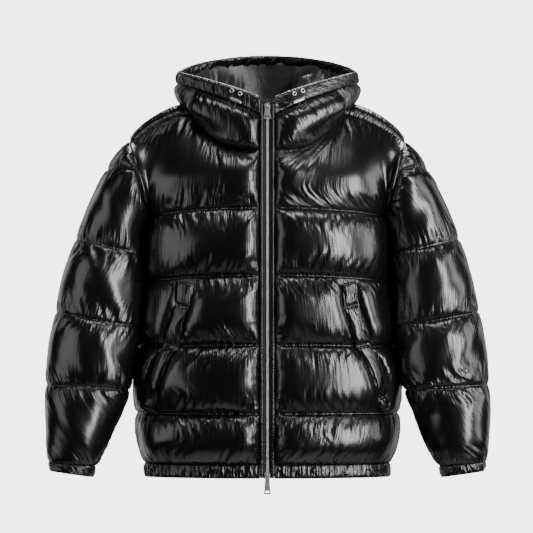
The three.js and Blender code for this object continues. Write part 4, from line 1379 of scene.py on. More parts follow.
    def _sleeve(self, side: Side) -> Panel:
        """A sleeve, from the armhole down, with its seam on the inner side."""
        both_ends = FORM.sleeve_seams[:, :2] + FORM.sleeve_seams[:, 2:4]
        rows, seams = seam_rows(list(np.linalg.norm(np.diff(both_ends, axis=0), axis=1) / 2), self.pitch)
        count = round(self.sleeve_round / self.pitch)
        angle, row = np.meshgrid(self.sleeve_start + np.arange(count) * 360 / count, rows)
        base = FORM.sleeve(angle, FORM.sleeve_place(angle, row))
        outward = cosine(angle)
        edge = np.where(outward > 0, self.sleeve_outer, self.sleeve_inner)
        share = row - np.minimum(np.floor(row), FORM.wrist - 1)
        cap = np.where(row < 1, ease(outward), 1)
        level = ease(-outward) * np.clip(row - 1, 0, 1) * np.clip(FORM.wrist - row, 0, 1)
        filled = lerp(channel(share), 1, level * self.inner_level)
        puff = lerp(self.sleeve_face, edge, outward**2) * filled * cap
        gathers = Gathers(fold_height=4.0, long_height=2.8, fold_length=66)
        return sided_panel("sleeve", side, base, puff, seams, is_tube=True, gathers=gathers, cap=6)

    def collar_seam(self, place: Grid) -> Grid:
        """The angle of the slanted seam between the collar and the hood's side."""
        return lerp(FORM.collar_end, self.collar_slant, place / FORM.band)

    def hood_back(self, place: Grid) -> Grid:
        """The angle of the seam between the hood's side and its centre."""
        return np.zeros_like(place) + FORM.hood_back

    def _ring_panel(self, name: str, side: Side, start: Callable[[Grid], Grid], end: Callable[[Grid], Grid],
                    count: int, puff: Callable[[Grid, Grid, Grid], Grid], seed: int) -> Panel:
        """A panel of the collar or hood, from the neck seam to the rim band's.

        Args:
            name: The node's name.
            side: The wearer's side.
            start: The angle where it starts, for each place.
            end: The angle where it ends.
            count: How many columns it has.
            puff: Its swelling for shares across, places up and points.
            seed: The seed of its wrinkles.
        """
        rows = np.linspace(0, 1, self.ring_rows)
        u, v = np.meshgrid(np.linspace(0, 1, count), lerp(rows, ease(rows), self.hood_crowding))
        place = v * FORM.band
        base = FORM.hood(lerp(start(place), end(place), u), place)
        height = puff(u, place, base) * channel(v)
        gathers = Gathers(short_height=1.2, long_height=1.3, fold_height=2.4, drag_height=0.8, fold_length=64)
        return Panel(name, turned(base, side), turned(height, side), [0, len(v) - 1], seed,
                     gathers=gathers, cap=5)

    def _collar(self, side: Side) -> Panel:
        """A collar, the full pad at the front of the hood."""

        def puff(u: Grid, v: Grid, base: Grid) -> Grid:
            """Rolls at the zip and at its end, and rests on the yoke below."""
            start, width = self.rest_rise
            rest = lerp(lerp(1, self.collar_rest, u), 1, ease((v / FORM.band - start) / width))
            to_end = np.linalg.norm(base - base[:, -1:], axis=-1)
            from_zip = roll(-FORM.placket_edge - base[..., 0], self.placket_roll)
            return self.collar_puff * from_zip * rest * roll(to_end, self.collar_roll)

        return self._ring_panel("collar_" + side.word, side, FORM.hood_edge, self.collar_seam,
                                self.collar_columns, puff, SEEDS["collar"] + side.value)

    def _hood_side(self, side: Side) -> Panel:
        """A hood side, from the collar's end to the centre panel."""

        def height(u: Grid, v: Grid, base: Grid) -> Grid:
            """Flat at the top and fuller low down, where it meets the shoulder."""
            middle, width = self.hood_low
            low = self.hood_low_puff * bell(v / FORM.band - middle, width) * (1 - u)
            puff = lerp(self.hood_side_puff, self.hood_back_puff, u) + low
            return puff * roll(u, self.hood_roll) * roll(1 - u, self.hood_roll)

        return self._ring_panel("hood_side_" + side.word, side, self.collar_seam, self.hood_back,
                                self.hood_side_columns, height, SEEDS["hood_side"] + side.value)

    def _hood_center(self) -> Panel:
        """The hood's centre panel, at the back."""

        def height(u: Grid, v: Grid, base: Grid) -> Grid:
            """Rolls at both sides."""
            return self.hood_back_puff * roll(u, self.hood_roll) * roll(1 - u, self.hood_roll)

        def end(place: Grid) -> Grid:
            """The angle of the seam on the left side."""
            return np.zeros_like(place) + 360 - FORM.hood_back

        return self._ring_panel("hood_center", Side.RIGHT, self.hood_back, end,
                                self.hood_center_columns, height, SEEDS["hood_center"])


@dataclass(frozen=True)
class Softbox:
    """A rectangular light: where it stands, what it faces, its width and height, and its watts."""

    name: str
    at: Triple
    to: Triple
    size: tuple[float, float]
    power: float

    def build(self) -> None:
        """Makes the light, which the camera itself doesn't see."""
        data = bpy.data.lights.new(self.name, "AREA")
        data.shape = "RECTANGLE"
        data.size, data.size_y = self.size
        data.energy = self.power
        light = add_object(self.name, data)
        light.visible_camera = False
        light.location = self.at
        light.rotation_euler = (Vector(self.to) - Vector(self.at)).to_track_quat("-Z", "Y").to_euler()


LIGHTS = (
    Softbox("left_softbox", (-2.3, -1.0, -0.1), (0, 0, -0.25), (1.8, 2.4), 27),
    Softbox("right_softbox", (1.75, -1.95, -0.1), (0, 0, -0.3), (0.7, 2.6), 125),
    Softbox("right_side_softbox", (2.5, -0.5, 0.1), (0, 0, -0.2), (0.9, 2.2), 38),
    Softbox("top_softbox", (0, -0.9, 1.9), (0, 0.05, 0), (1.2, 0.7), 34),
    Softbox("back_left_softbox", (-1.7, 2.1, -0.4), (0, 0, -0.35), (1.2, 3.2), 15),
    Softbox("back_right_softbox", (1.7, 2.1, -0.4), (0, 0, -0.35), (1.2, 3.2), 10),
    Softbox("back_top_softbox", (0.2, 1.5, 1.7), (0, 0.1, -0.4), (1.6, 0.8), 70),
)


@dataclass(frozen=True)
class Studio:
    """A plain pale floor, pale surroundings and a long-lens camera, straight on."""

    picture_width: float = 0.9914
    middle: Triple = (-0.0015, -0.11, -0.304)
    distance: float = 20.0
    sensor: float = 36.0
    floor_z: float = -3.6
    floor_half: float = 2.6
    floor_squares: int = 8
    paper: Triple = (0.83, 0.83, 0.81)
    paper_light: float = 1.04
    paper_grain: Grain = Grain(60, 2)
    dim: Triple = (0.9, 0.92, 0.95)
    dim_strength: float = 0.008
    seen_strength: float = 5.4

    def build(self) -> None:
        """Makes the camera, floor, lights and surroundings."""
        self._camera()
        self._floor()
        self._surroundings()
        for light in LIGHTS:
            light.build()

    def _camera(self) -> None:
        """A camera whose picture is as wide as the photograph's at the jacket's face."""
        data = bpy.data.cameras.new("camera")
        data.sensor_width = self.sensor
        data.lens = self.sensor * self.distance / self.picture_width
        camera = add_object("camera", data)
        x, y, z = self.middle
        camera.location = (x, y - self.distance, z)
        camera.rotation_euler = (math.pi / 2, 0, 0)
        bpy.context.scene.camera = camera

    def _floor(self) -> None:
        """A plain pale floor."""
        line = np.linspace(-self.floor_half, self.floor_half, self.floor_squares + 1) / MM
        x, y = np.meshgrid(-line, line)
        floor = Cloth.sheet("studio_floor", points(x, y, self.floor_z / MM + 0 * x))
        shader = Shader("pale_paper")
        grain = shader.noise(shader.place(), self.paper_grain)
        paper = shader.blend(grain, self.paper, 1, self.paper_light)
        floor.data.materials.append(shader.finish(Base_Color=paper, Roughness=0.9))

    def _surroundings(self) -> None:
        """A pale backdrop all round that gives the jacket itself little light."""
        world = bpy.data.worlds.new("studio")
        world.use_nodes = True
        tree = world.node_tree
        dim, seen = tree.nodes["Background"], tree.nodes.new("ShaderNodeBackground")
        for node, colour, strength in (
            (dim, self.dim, self.dim_strength), (seen, self.paper, self.seen_strength),
        ):
            node.inputs["Color"].default_value = (*colour, 1)
            node.inputs["Strength"].default_value = strength
        rays = tree.nodes.new("ShaderNodeLightPath")
        mix = tree.nodes.new("ShaderNodeMixShader")
        tree.links.new(rays.outputs["Is Camera Ray"], mix.inputs[0])
        tree.links.new(dim.outputs[0], mix.inputs[1])
        tree.links.new(seen.outputs[0], mix.inputs[2])
        tree.links.new(mix.outputs[0], tree.nodes["World Output"].inputs["Surface"])
        bpy.context.scene.world = world


@dataclass
class GatheredBands:
    """The hem, cuff and rim bands: narrow casings drawn into close, uneven gathers."""

    pitch: float = 2.4
    gather: float = 5.2
    gather_height: float = 2.3
    hem_depth: float = 26.0
    hem_swell: float = 2.8
    hem_wall: float = 4.5
    cuff_swell: float = 2.2
    cuff_wall: float = 4.0
    rim_swell: float = 4.5
    rim_gather: float = 8.0
    rim_height: float = 2.4
    inner_swell: float = 1.2
    inner_gathers: float = 1.2
    eyelets_at: float = 20.4
    eyelets_flat: tuple[float, float] = (6.0, 4.0)
    rim_wall: float = 2.6
    lean: Waves = Waves(5.0, 18.0, 1.0)
    lean_up: float = 1.3
    folds_up: float = 0.9
    fine_length: float = 0.45
    fine_start: float = 9.0
    fine_up: float = 2.2
    mix: tuple[float, float] = (0.9, 0.3)
    pinch: float = 0.55
    end_width: float = 6.0
    inside_share: float = 0.3
    cuff_height: float = 0.9
    rows: int = 15
    panels: dict[str, Panel] = field(default_factory=dict)

    def build(self) -> None:
        """Makes the four bands."""
        for panel in (self._hem(), *(self._cuff(side) for side in Side), self._rim()):
            self.panels[panel.name] = panel
            panel.finish(SHELL, "gathered_band")

    def _gathers(self, along: Grid, share: Grid, length: float, height: float, seed: int) -> Grid:
        """Uneven waves across a band, pinched at both its edges.

        Args:
            along: The way round, in millimetres.
            share: The place across the band, 0 to 1.
            length: A gather's usual length.
            height: Its height.
            seed: The seed of its unevenness.
        """
        wave, drift = Ripple(seed), Ripple(seed + 1)
        lean = self.lean.over(drift, along, share * self.lean_up)
        folds = wave.ridges((along + lean) / length, share * self.folds_up)
        fine = (along + lean) / (length * self.fine_length) + self.fine_start
        fine = drift.ridges(fine, share * self.fine_up)
        broad_share, fine_share = self.mix
        waves = folds * broad_share + fine * fine_share - broad_share
        return height * waves * (self.pinch + (1 - self.pinch) * channel(share))

    def _band(self, name: str, base: Grid, swell: float, wall: float, seed: int, is_tube: bool,
              length: float, height: float, flat: Grid | None = None) -> Panel:
        """A band over a plain grid whose rows run up.

        Args:
            name: The node's name.
            base: The band's plain points.
            swell: How far its middle stands out.
            wall: Its thickness.
            seed: The seed of its gathers.
            is_tube: Whether it closes round.
            length: A gather's length.
            height: A gather's height.
            flat: A share for each column, 0 where the band lies flat.
        """
        rows, columns = base.shape[:2]
        share = np.linspace(0, 1, rows)[:, None] + np.zeros((1, columns))
        along = measured(base, 1)
        waves = self._gathers(along, share, length, height, seed)
        ends = ease(np.minimum(along, along[:, -1:] - along) / self.end_width)
        waves = waves * ends * (1 if flat is None else flat)
        arch = np.sqrt(4 * share * (1 - share))
        plain = Gathers(crease=0.3, short_height=0, long_height=0, fold_height=0, drag_height=0)
        panel = Panel(name, base, waves + swell * arch, [0, rows - 1], seed, is_tube=is_tube, gathers=plain,
                      wall=wall, fill=0.35, refined=False)
        drawn = (self.inside_share + self.inner_gathers * arch) * waves
        panel.inside = -wall - self.inner_swell * swell * arch - drawn
        return panel

    def _spaced(self, first: float, last: float, at: Callable[[Grid], Grid], samples: int,
                extra: int = 0) -> Grid:
        """Angles that space a ring's columns evenly.

        Args:
            first: The ring's first angle.
            last: Its last.
            at: Its points for angles.
            samples: How many points measure it.
            extra: How many columns more than its length asks for.
        """
        line = at(np.linspace(first, last, samples))
        count = round(line_length(line) / self.pitch) + extra
        return lerp(first, last, even_shares(line, count))

    def _hem(self) -> Panel:
        """The hem band, from one placket edge round the back to the other."""

        def hem(angle: Grid) -> Grid:
            """The body's lowest seam."""
            return FORM.body(angle, np.zeros_like(angle))

        start = FORM.front_start(np.zeros(1))[0]
        ring = hem(self._spaced(start, 360 - start, hem, RING_SAMPLES))
        drop = np.linspace(self.hem_depth, 0, self.rows)[:, None, None] * np.array([0, 0, 1.0])
        return self._band("hem_band", ring[None] - drop, self.hem_swell, self.hem_wall, SEEDS["hem"], False,
                          self.gather, self.gather_height)

    def _cuff(self, side: Side) -> Panel:
        """A cuff, below its sleeve."""

        def wrist(angle: Grid) -> Grid:
            """The sleeve's last seam."""
            return FORM.sleeve(angle, np.zeros_like(angle) + FORM.wrist)

        start = QuiltedShell.sleeve_start
        angle = self._spaced(start, start + 360, wrist, WRIST_SAMPLES, 1)[:-1]
        base = lerp(wrist(angle)[None], FORM.cuff(angle)[None], np.linspace(0, 1, self.rows)[:, None, None])
        return self._band("cuff_" + side.word, turned(base, side), self.cuff_swell, self.cuff_wall,
                          SEEDS["cuff"] + side.value, True, self.gather,
                          self.gather_height * self.cuff_height)

    def _rim(self) -> Panel:
        """The hood's rim band, flat where its eyelets sit."""

        def rim(angle: Grid) -> Grid:
            """The hood's edge."""
            return FORM.hood(angle, np.zeros_like(angle) + FORM.rim)

        edge = FORM.hood_edge(np.array([float(FORM.rim)]))[0]
        angle, place = np.meshgrid(self._spaced(edge, 360 - edge, rim, RING_SAMPLES),
                                   np.linspace(FORM.band, FORM.rim, self.rows))
        from_zip = np.minimum(angle, 360 - angle)
        flat = ease((np.abs(from_zip - self.eyelets_at) - self.eyelets_flat[0]) / self.eyelets_flat[1])
        return self._band("hood_rim", FORM.hood(angle, place), self.rim_swell, self.rim_wall, SEEDS["rim"],
                          False, self.rim_gather, self.rim_height, flat)


@dataclass
class PocketWelt:
    """A pocket's slanted welt: a soft strip in a hollow of the front, in four sewn lengths."""

    shell: QuiltedShell
    side: Side
    panel: Panel = field(init=False)
    columns: int = 15
    rows_each: int = 18
    crown: float = 7.0
    lift: float = 2.4
    bead: float = 1.6
    bead_width: float = 0.07
    bridge: int = 9
    bridge_share: float = 0.75

    def build(self) -> None:
        """Makes the welt over the filled front."""
        front = self.shell.panels["front_" + self.side.word]
        parts = len(WELT.crossings) - 1
        count = np.linspace(0, parts, self.rows_each * parts + 1)[:, None]
        share = np.linspace(0, 1, self.columns)[None, :]
        v = np.interp(count, np.arange(parts + 1), WELT.crossings) + WELT.slant * (2 * share - 1)
        base = self._sample(turned(front.shape, self.side), WELT.across(v, share), v)
        soft = base.copy()
        for _ in range(self.bridge):
            ring = np.concatenate([soft[:1], soft, soft[-1:]])
            soft = (ring[:-2] + 2 * ring[1:-1] + ring[2:]) / 4
        soft = np.where(soft[..., 1:2] < base[..., 1:2], soft, lerp(base, soft, self.bridge_share))
        part = channel(count - np.minimum(np.floor(count), parts - 1), 0.5)
        bead = self.bead * bell(share - 1 + self.bead_width, self.bead_width)
        puff = self.crown * np.sqrt(channel(share, 1.0)) * part + self.lift + bead
        plain = Gathers(crease=1.2, crease_width=3.0, short_height=1.1, short_length=6.5, long_height=3.4,
                        long_length=13, long_reach=17, fold_height=1.2, drag_height=0.6, short_reach=8)
        self.panel = sided_panel("pocket_welt", self.side, soft, puff, range(0, len(count), self.rows_each),
                                 gathers=plain, wall=2.4, fill=0.4, edges_pucker=0.4)
        self.panel.finish(SHELL, "shell")

    def _sample(self, surface: Grid, u: Grid, v: Grid) -> Grid:
        """Points of the front's outside at shares across and seams counted up.

        Args:
            surface: The right-handed grid of its outside.
            u: Shares of the front's own way across.
            v: Seams counted from the hem.
        """
        rows, _ = self.shell.body_rows()
        columns = self.shell.front_columns(surface.shape[1])
        r, c = np.interp(v, rows, np.arange(len(rows))), np.interp(u, columns, np.arange(len(columns)))
        r0, c0 = np.floor(r).astype(int), np.floor(c).astype(int)
        r1, c1 = np.minimum(r0 + 1, len(rows) - 1), np.minimum(c0 + 1, len(columns) - 1)
        fr, fc = (r - r0)[..., None], (c - c0)[..., None]
        low, high = (lerp(surface[row, c0], surface[row, c1], fc) for row in (r0, r1))
        return lerp(low, high, fr)


class Rule(Nodes):
    """A Geometry Nodes tree that repeats small parts along lines, run once into a plain mesh."""

    def __init__(self, name: str, sizes: dict[str, float]) -> None:
        """Starts a tree.

        Args:
            name: The tree's name.
            sizes: Its named sizes, with their values.
        """
        self.sizes = sizes
        self.tree = bpy.data.node_groups.new(name, "GeometryNodeTree")
        face = self.tree.interface
        face.new_socket("Geometry", in_out="INPUT", socket_type="NodeSocketGeometry")
        number = {"in_out": "INPUT", "socket_type": "NodeSocketFloat"}
        self.known = {size: face.new_socket(size, **number) for size in sizes}
        face.new_socket("Geometry", in_out="OUTPUT", socket_type="NodeSocketGeometry")
        self.start = self.tree.nodes.new("NodeGroupInput")

    def size(self, name: str) -> Socket:
        """A named size's output."""
        return self.start.outputs[name]

    def along(self, part: Socket, pitch: str) -> Socket:
        """The part at every pitch along the lines, its Z along them.

        Args:
            part: The part's geometry.
            pitch: The name of the size that spaces it.
        """
        curve = self.node("GeometryNodeMeshToCurve", None, {"Mesh": self.start.outputs["Geometry"]})
        spots = self.node("GeometryNodeCurveToPoints", {"mode": "LENGTH"},
                          {"Curve": curve.outputs[0], "Length": self.size(pitch)})
        facing = self.node("FunctionNodeAlignRotationToVector", {"axis": "Z"},
                           {"Vector": spots.outputs["Tangent"]}).outputs[0]
        return self.node("GeometryNodeInstanceOnPoints", None, {
            "Points": spots.outputs["Points"], "Instance": part, "Rotation": facing}).outputs[0]

    def run(self, name: str, parts: Sequence[Socket], lines: Sequence[Grid],
            finish: Finish) -> Piece:
        """Runs the tree over lines of points.

        Args:
            name: The new piece's name.
            parts: The geometry to keep.
            lines: Lines of points in millimetres.
            finish: The parts' finish.

        Returns:
            A plain mesh object.
        """
        joined = self.node("GeometryNodeJoinGeometry")
        for part in parts:
            self.tree.links.new(part, joined.inputs[0])
        real = self.node("GeometryNodeRealizeInstances", None, {"Geometry": joined.outputs[0]})
        painted = self.node("GeometryNodeSetMaterial", None,
                            {"Geometry": real.outputs[0], "Material": finish.material()})
        end = self.tree.nodes.new("NodeGroupOutput")
        self.tree.links.new(painted.outputs[0], end.inputs[0])
        source = self._lines(name + "_lines", lines)
        modifier = source.modifiers.new("rule", "NODES")
        modifier.node_group = self.tree
        for size, value in self.sizes.items():
            modifier[self.known[size].identifier] = value
        graph = bpy.context.evaluated_depsgraph_get()
        mesh = bpy.data.meshes.new_from_object(source.evaluated_get(graph))
        source.modifiers.remove(modifier)
        bpy.data.objects.remove(source)
        mesh.shade_smooth()
        return add_object(name, mesh)

    @staticmethod
    def _lines(name: str, lines: Sequence[Grid]) -> Piece:
        """An object of loose edges along lines of points."""
        corners, edges = [], []
        for line in lines:
            first = len(corners)
            corners += [tuple(p) for p in line * MM]
            edges += [(first + n, first + n + 1) for n in range(len(line) - 1)]
        mesh = bpy.data.meshes.new(name)
        mesh.from_pydata(corners, edges, [])
        return add_object(name, mesh)


def circle(count: int) -> Grid:
    """Angles round a circle, in radians."""
    return np.linspace(0, 2 * np.pi, count, endpoint=False)


def tube(name: str, path: Grid, radii: Grid, sides: int) -> Piece:
    """A closed round tube along a path.

    Args:
        name: The object's name.
        path: Points in millimetres.
        radii: A radius for each.
        sides: Points round it, an even number.
    """
    ahead = unit(np.gradient(path, axis=0))
    across = unit(np.cross(ahead, np.array([0.0, -1.0, 0.0])))
    up = np.cross(across, ahead)
    turn = circle(sides)[None, :, None]
    ring = across[:, None] * np.cos(turn) + up[:, None] * np.sin(turn)
    grid = path[:, None] + ring * radii[:, None, None]
    quads = Cloth.faces(len(path), sides, True)
    total = len(path) * sides
    grid = np.concatenate([grid.reshape(-1, 3), path[:1], path[-1:]])
    ends = []
    for start, tip, step in ((0, total, 1), (total - sides, total + 1, -1)):
        for n in range(0, sides, 2):
            quad = [start + n, start + (n + 1) % sides, start + (n + 2) % sides, tip]
            ends.append(quad[::step])
    obj = Cloth.mesh(name, grid, np.concatenate([quads, ends]))
    outward(obj)
    return obj


def outward(obj: Piece) -> None:
    """Turns every face of a closed mesh outwards."""
    work = bmesh.new()
    work.from_mesh(obj.data)
    bmesh.ops.recalc_face_normals(work, faces=work.faces)
    work.to_mesh(obj.data)
    work.free()


@dataclass
class Zip:
    """The two-way zip: interlocked metal teeth, piped edges, and the frame's tapes and sliders."""

    shell: QuiltedShell
    bottom: float = -697.0
    top: float = 0.0
    pitch: float = 2.7
    tooth: Triple = (3.0, 2.2, 1.25)
    piping_x: float = 10.7
    piping_out: float = 2.0
    piping_radius: float = 2.9
    piping_sides: int = 12
    piping_step: float = 1.6
    piping_folds: Waves = Waves(0.35, 9.0, 31.0)
    piping_creases: Waves = Waves(0.2, 3.1, 9.0)
    piping_wander: Waves = Waves(0.3, 40.0, 60.0, (5.0, 0.0))
    piping_seam: float = 4.0
    piping_width: float = 1.5
    line_step: float = 4.0
    line_lift: float = 0.9
    tooth_out: float = 0.42
    tooth_up: float = 0.54
    knob_out: float = 0.06
    knob_radius: float = 0.62
    knob_shape: Triple = (1.5, 1.8, 1.0)
    body_samples: int = 120
    neck_samples: int = 80

    def face_y(self, z: Grid) -> Grid:
        """How far forward the cloth's face is at the centre front."""
        v = np.linspace(0, FORM.top, self.body_samples)
        body = self.shell.front_at(np.zeros_like(v), v)
        place = np.linspace(0, FORM.rim, self.neck_samples)[1:]
        neck = FORM.hood(FORM.hood_edge(place), place)
        line = np.concatenate([body, neck])
        return np.interp(z, line[:, 2], line[:, 1])

    def build(self) -> None:
        """Makes the teeth and pipings and finishes the tapes."""
        z = np.arange(self.bottom, self.top, self.line_step)
        centre = points(0 * z, self.face_y(z) + self.line_lift, z)
        rule = Rule("zip_teeth_rule", {"Pitch": self.pitch * MM})
        wide, deep, tall = (value * MM for value in self.tooth)
        parts = []
        for way in (1, -1):
            bar = rule.node("GeometryNodeMeshCube", None, {"Size": (wide, deep, tall)})
            up = tall * self.tooth_up * way
            moved = rule.node("GeometryNodeTransform", None, {
                "Geometry": bar.outputs[0], "Translation": (wide * self.tooth_out * way, 0, up)})
            size = {"Radius": tall * self.knob_radius, "Subdivisions": 1}
            head = rule.node("GeometryNodeTransform", None, {
                "Geometry": rule.node("GeometryNodeMeshIcoSphere", None, size).outputs[0],
                "Scale": self.knob_shape, "Translation": (-wide * self.knob_out * way, 0, up)})
            pair = rule.node("GeometryNodeJoinGeometry")
            rule.tree.links.new(moved.outputs[0], pair.inputs[0])
            rule.tree.links.new(head.outputs[0], pair.inputs[0])
            parts.append(rule.along(pair.outputs[0], "Pitch"))
        teeth = rule.run("zip_teeth", parts, [centre], METAL)
        dress(teeth, METAL, ["zip_chain"])
        for side in Side:
            self._piping(side)
            repaint("zip_tape_" + side.word, TAPE)

    def _piping(self, side: Side) -> None:
        """A soft gathered piping along one side of the teeth."""
        z = np.arange(self.bottom, self.top, self.piping_step)
        swell = Ripple(SEEDS["piping"] + side.value)
        folds, creases = self.piping_folds.over(swell, z, z), self.piping_creases.over(swell, z, z)
        radii = self.piping_radius + folds - creases
        x = -side.value * (self.piping_x + self.piping_wander.over(swell, z, z))
        path = points(x + 0 * z, self.face_y(z) - self.piping_out, z)
        sides = self.piping_sides
        obj = tube(f"zip_piping_{side.word}_sewn", path, radii, sides)
        Cloth.mark(obj, "seam_distance", np.zeros(len(obj.data.vertices)) + self.piping_seam)
        around = np.tile(np.arange(sides) * self.piping_width, len(z))
        Cloth.unwrap(obj, np.concatenate([np.stack([np.repeat(z, sides), around], -1), np.zeros((2, 2))]))
        dress(obj, SHELL, ["zip_piping_" + side.word])


def repaint(node: str, finish: Finish) -> None:
    """Gives a CAD node that stays its finish."""
    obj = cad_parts[node]
    for place in range(len(obj.data.materials)):
        obj.data.materials[place] = finish.material()


@dataclass
class Hardware:
    """Sliders, pull tabs and cord locks of the frame, with turned eyelets on the rim band."""

    nodes: tuple[str, ...] = ("zip_slider_top", "zip_slider_bottom", "pull_tab_top", "pull_tab_bottom",
                              "cord_lock_right", "cord_lock_left")
    ring: float = 3.3
    wire: float = 1.0
    wire_depth: float = 0.8
    outward_x: float = 0.35
    upward: float = 18.0
    turns: int = 28
    sides: int = 10

    def build(self) -> None:
        """Finishes the metal and makes the eyelets."""
        for node in self.nodes:
            repaint(node, METAL)
        for side in Side:
            for number in (1, 2):
                self._eyelet(f"eyelet_{number}_{side.word}")

    def _eyelet(self, node: str) -> None:
        """A rolled metal ring in place of a plain one."""
        low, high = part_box(node)
        middle = np.array((low + high) / 2) / MM
        ahead = unit(np.array([middle[0] * self.outward_x, middle[1], self.upward]))
        across = unit(np.cross(ahead, np.array([0.0, 0.0, 1.0])))
        up = np.cross(across, ahead)
        a, b = circle(self.turns)[None, :, None], circle(self.sides)[:, None, None]
        out = across * np.cos(a) + up * np.sin(a)
        grid = middle + out * (self.ring + self.wire * np.cos(b))
        grid = grid + ahead * self.wire * self.wire_depth * np.sin(b)
        quads = Cloth.faces(self.sides + 1, self.turns, True) % (self.sides * self.turns)
        obj = Cloth.mesh(node + "_rolled", grid, quads)
        outward(obj)
        dress(obj, METAL, [node])


@dataclass
class Drawcord:
    """The cord's loop at each side of the neck, from under its lock over the collar and back."""

    diameter: float = 2.6
    steps: int = 6
    route: Grid = field(default_factory=lambda: np.array([
        (-60.5, -99.8, 0.6), (-59.6, -102.8, -1.6), (-59.7, -106, -4.2), (-61.2, -109.4, -6.9),
        (-64.4, -111.6, -8.4), (-68, -110.8, -7.4), (-70.9, -107.6, -4.4), (-72, -103.8, -1),
        (-71.4, -100.6, 1.8), (-70, -99.4, 3.6),
    ], float))

    def build(self) -> None:
        """Makes both loops."""
        place = np.linspace(0, len(self.route) - 1, (len(self.route) - 1) * self.steps + 1)
        line = np.stack(section_at(self.route, place), axis=-1)
        for side in Side:
            self._loop(side, line if side is Side.RIGHT else flipped(line))

    def _loop(self, side: Side, line: Grid) -> None:
        """One loop, as a round curve."""
        curve = bpy.data.curves.new("drawcord_" + side.word, "CURVE")
        curve.dimensions = "3D"
        curve.bevel_depth = self.diameter / 2 * MM
        curve.bevel_resolution = 4
        curve.use_fill_caps = True
        spline = curve.splines.new("POLY")
        spline.points.add(len(line) - 1)
        flat = np.concatenate([line * MM, np.ones((len(line), 1))], axis=1)
        spline.points.foreach_set("co", flat.ravel())
        obj = add_object("drawcord_" + side.word, curve)
        dress(obj, BRAID, ["cord_loop_" + side.word])
        length = float(line_length(line)) * MM
        list(line[0] * MM)


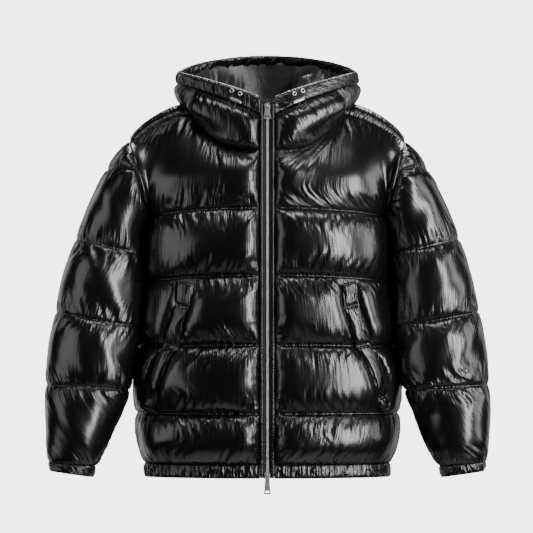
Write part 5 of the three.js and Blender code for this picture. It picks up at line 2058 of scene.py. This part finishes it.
@dataclass
class HoodLining:
    """The lining inside the hood, falling from the rim band in loose folds to the neck."""

    first: float = 26.0
    top: float = 0.55
    columns: int = 300
    rows: int = 72
    inset: float = 5.0
    floor: Triple = (68.0, -36.0, -8.0)
    sag: float = 34.0
    rise: float = 0.8
    slope: float = 0.35
    middle_y: float = 20.0
    behind_width: float = 21.0
    behind_sag: float = 52.0
    behind_calm: float = 0.85
    bend: Waves = Waves(9.0, 40.0, 1.0)
    bend_up: float = 2.1
    fold_width: float = 21.0
    fold_up: tuple[float, float] = (0.9, 3.0)
    fold_height: float = 27.0
    crease_width: float = 6.5
    crease_bend: float = 1.4
    crease_up: float = 2.3
    crease_height: float = 9.0
    cross_width: tuple[float, float] = (34.0, 30.0)
    cross_start: float = 7.0
    cross_up: float = 5.5
    cross_height: float = 4.0
    hold: tuple[float, float] = (0.16, 0.1)
    wall: float = 1.0

    def build(self) -> None:
        """Makes the lining."""
        angles = np.linspace(self.first, 360 - self.first, self.columns)
        angle, t = np.meshgrid(angles, np.linspace(1, 0, self.rows))
        zero = np.zeros_like(angle)
        ring = FORM.hood(angle, zero + FORM.band + self.top)
        middle = ring * np.array([0.0, 0.0, 1.0]) + np.array([0, self.middle_y, 0])
        top = ring + unit(middle - ring) * self.inset
        half, ahead, low = self.floor
        end = points(-half * sine(angle), ahead - half * cosine(angle), low + zero)
        behind = bell(angle - 180, self.behind_width)
        drop = (self.sag + self.behind_sag * behind) * np.sin(np.pi * t**self.rise)
        base = lerp(top, end, t[..., None]) - points(zero, -self.slope * drop, drop)
        broad, fine = Ripple(SEEDS["lining_folds"]), Ripple(SEEDS["lining_creases"])
        bend = self.bend.over(fine, angle, t * self.bend_up)
        up, start = self.fold_up
        folds = broad.ridges((angle + bend) / self.fold_width, t * up + start)
        folds = folds * self.fold_height * (1 - self.behind_calm * behind)
        creases = fine.ridges((angle + bend * self.crease_bend) / self.crease_width, t * self.crease_up)
        creases = creases * self.crease_height
        across, along = self.cross_width
        cross = broad.at(angle / across + self.cross_start, t * self.cross_up + bend / along)
        cross = cross * self.cross_height
        hold = ease(t / self.hold[0]) * ease((1 - t) / self.hold[1])
        shape = base - grid_normals(base, False) * ((folds + creases + cross) * hold)[..., None]
        back = shape + grid_normals(shape, False) * self.wall
        obj = Cloth.wall("hood_lining", back, shape)
        dress(obj, LINING)

    @staticmethod
    def width(shape: Grid) -> float:
        """The lining's mean way round, in metres."""
        return float(np.linalg.norm(np.diff(shape, axis=1), axis=-1).sum(axis=1).mean()) * MM


@dataclass
class Topstitching:
    """Rows of stitches beside the bands', welts' and shoulders' seams."""

    shell: QuiltedShell
    bands: GatheredBands
    welts: list[PocketWelt]
    pitch: float = 4.2
    length: float = 3.1
    radius: float = 0.42
    lift: float = 0.25
    beside: tuple[int, int] = (1, -2)
    band_rows: tuple[int, int] = (2, -3)

    def build(self) -> None:
        """Makes every row as one piece."""
        rule = Rule("stitch_rule", {"Pitch": self.pitch * MM})
        ball = rule.node("GeometryNodeMeshIcoSphere", None, {"Radius": self.radius * MM, "Subdivisions": 2})
        long = rule.node("GeometryNodeTransform", None, {
            "Geometry": ball.outputs[0], "Scale": (1, 1, self.length / self.radius / 2)})
        stitches = rule.along(long.outputs[0], "Pitch")
        obj = rule.run("topstitching", [stitches], self._lines(), THREAD)
        dress(obj, THREAD)

    def _lines(self) -> list[Grid]:
        """The rows of stitches, as lines of points."""
        low, high = self.band_rows
        rim, hem = self.bands.panels["hood_rim"], self.bands.panels["hem_band"]
        lines = [self._row(rim, low), self._row(rim, high), self._row(hem, high)]
        for side in Side:
            lines.append(self._row(self.bands.panels["cuff_" + side.word], low))
            strip = self.shell.panels["shoulder_strip_" + side.word]
            lines += [self._row(strip, number) for number in self.beside]
        for welt in self.welts:
            lines += [self._column(welt.panel, number) for number in self.beside]
        return lines

    def _row(self, panel: Panel, number: int) -> Grid:
        """One of a panel's rows, just over its outside."""
        return panel.shape[number] + panel.normals[number] * self.lift

    def _column(self, panel: Panel, number: int) -> Grid:
        """One of a panel's columns, just over its outside."""
        return panel.shape[:, number] + panel.normals[:, number] * self.lift


def main() -> None:
    """Builds the studio, then the jacket piece by piece."""
    Studio().build()
    shell = QuiltedShell()
    shell.build()
    bands = GatheredBands()
    bands.build()
    welts = [PocketWelt(shell, side) for side in Side]
    for welt in welts:
        welt.build()
    Zip(shell).build()
    Hardware().build()
    Drawcord().build()
    HoodLining().build()
    Topstitching(shell, bands, welts).build()


if __name__ == "__main__":
    main()
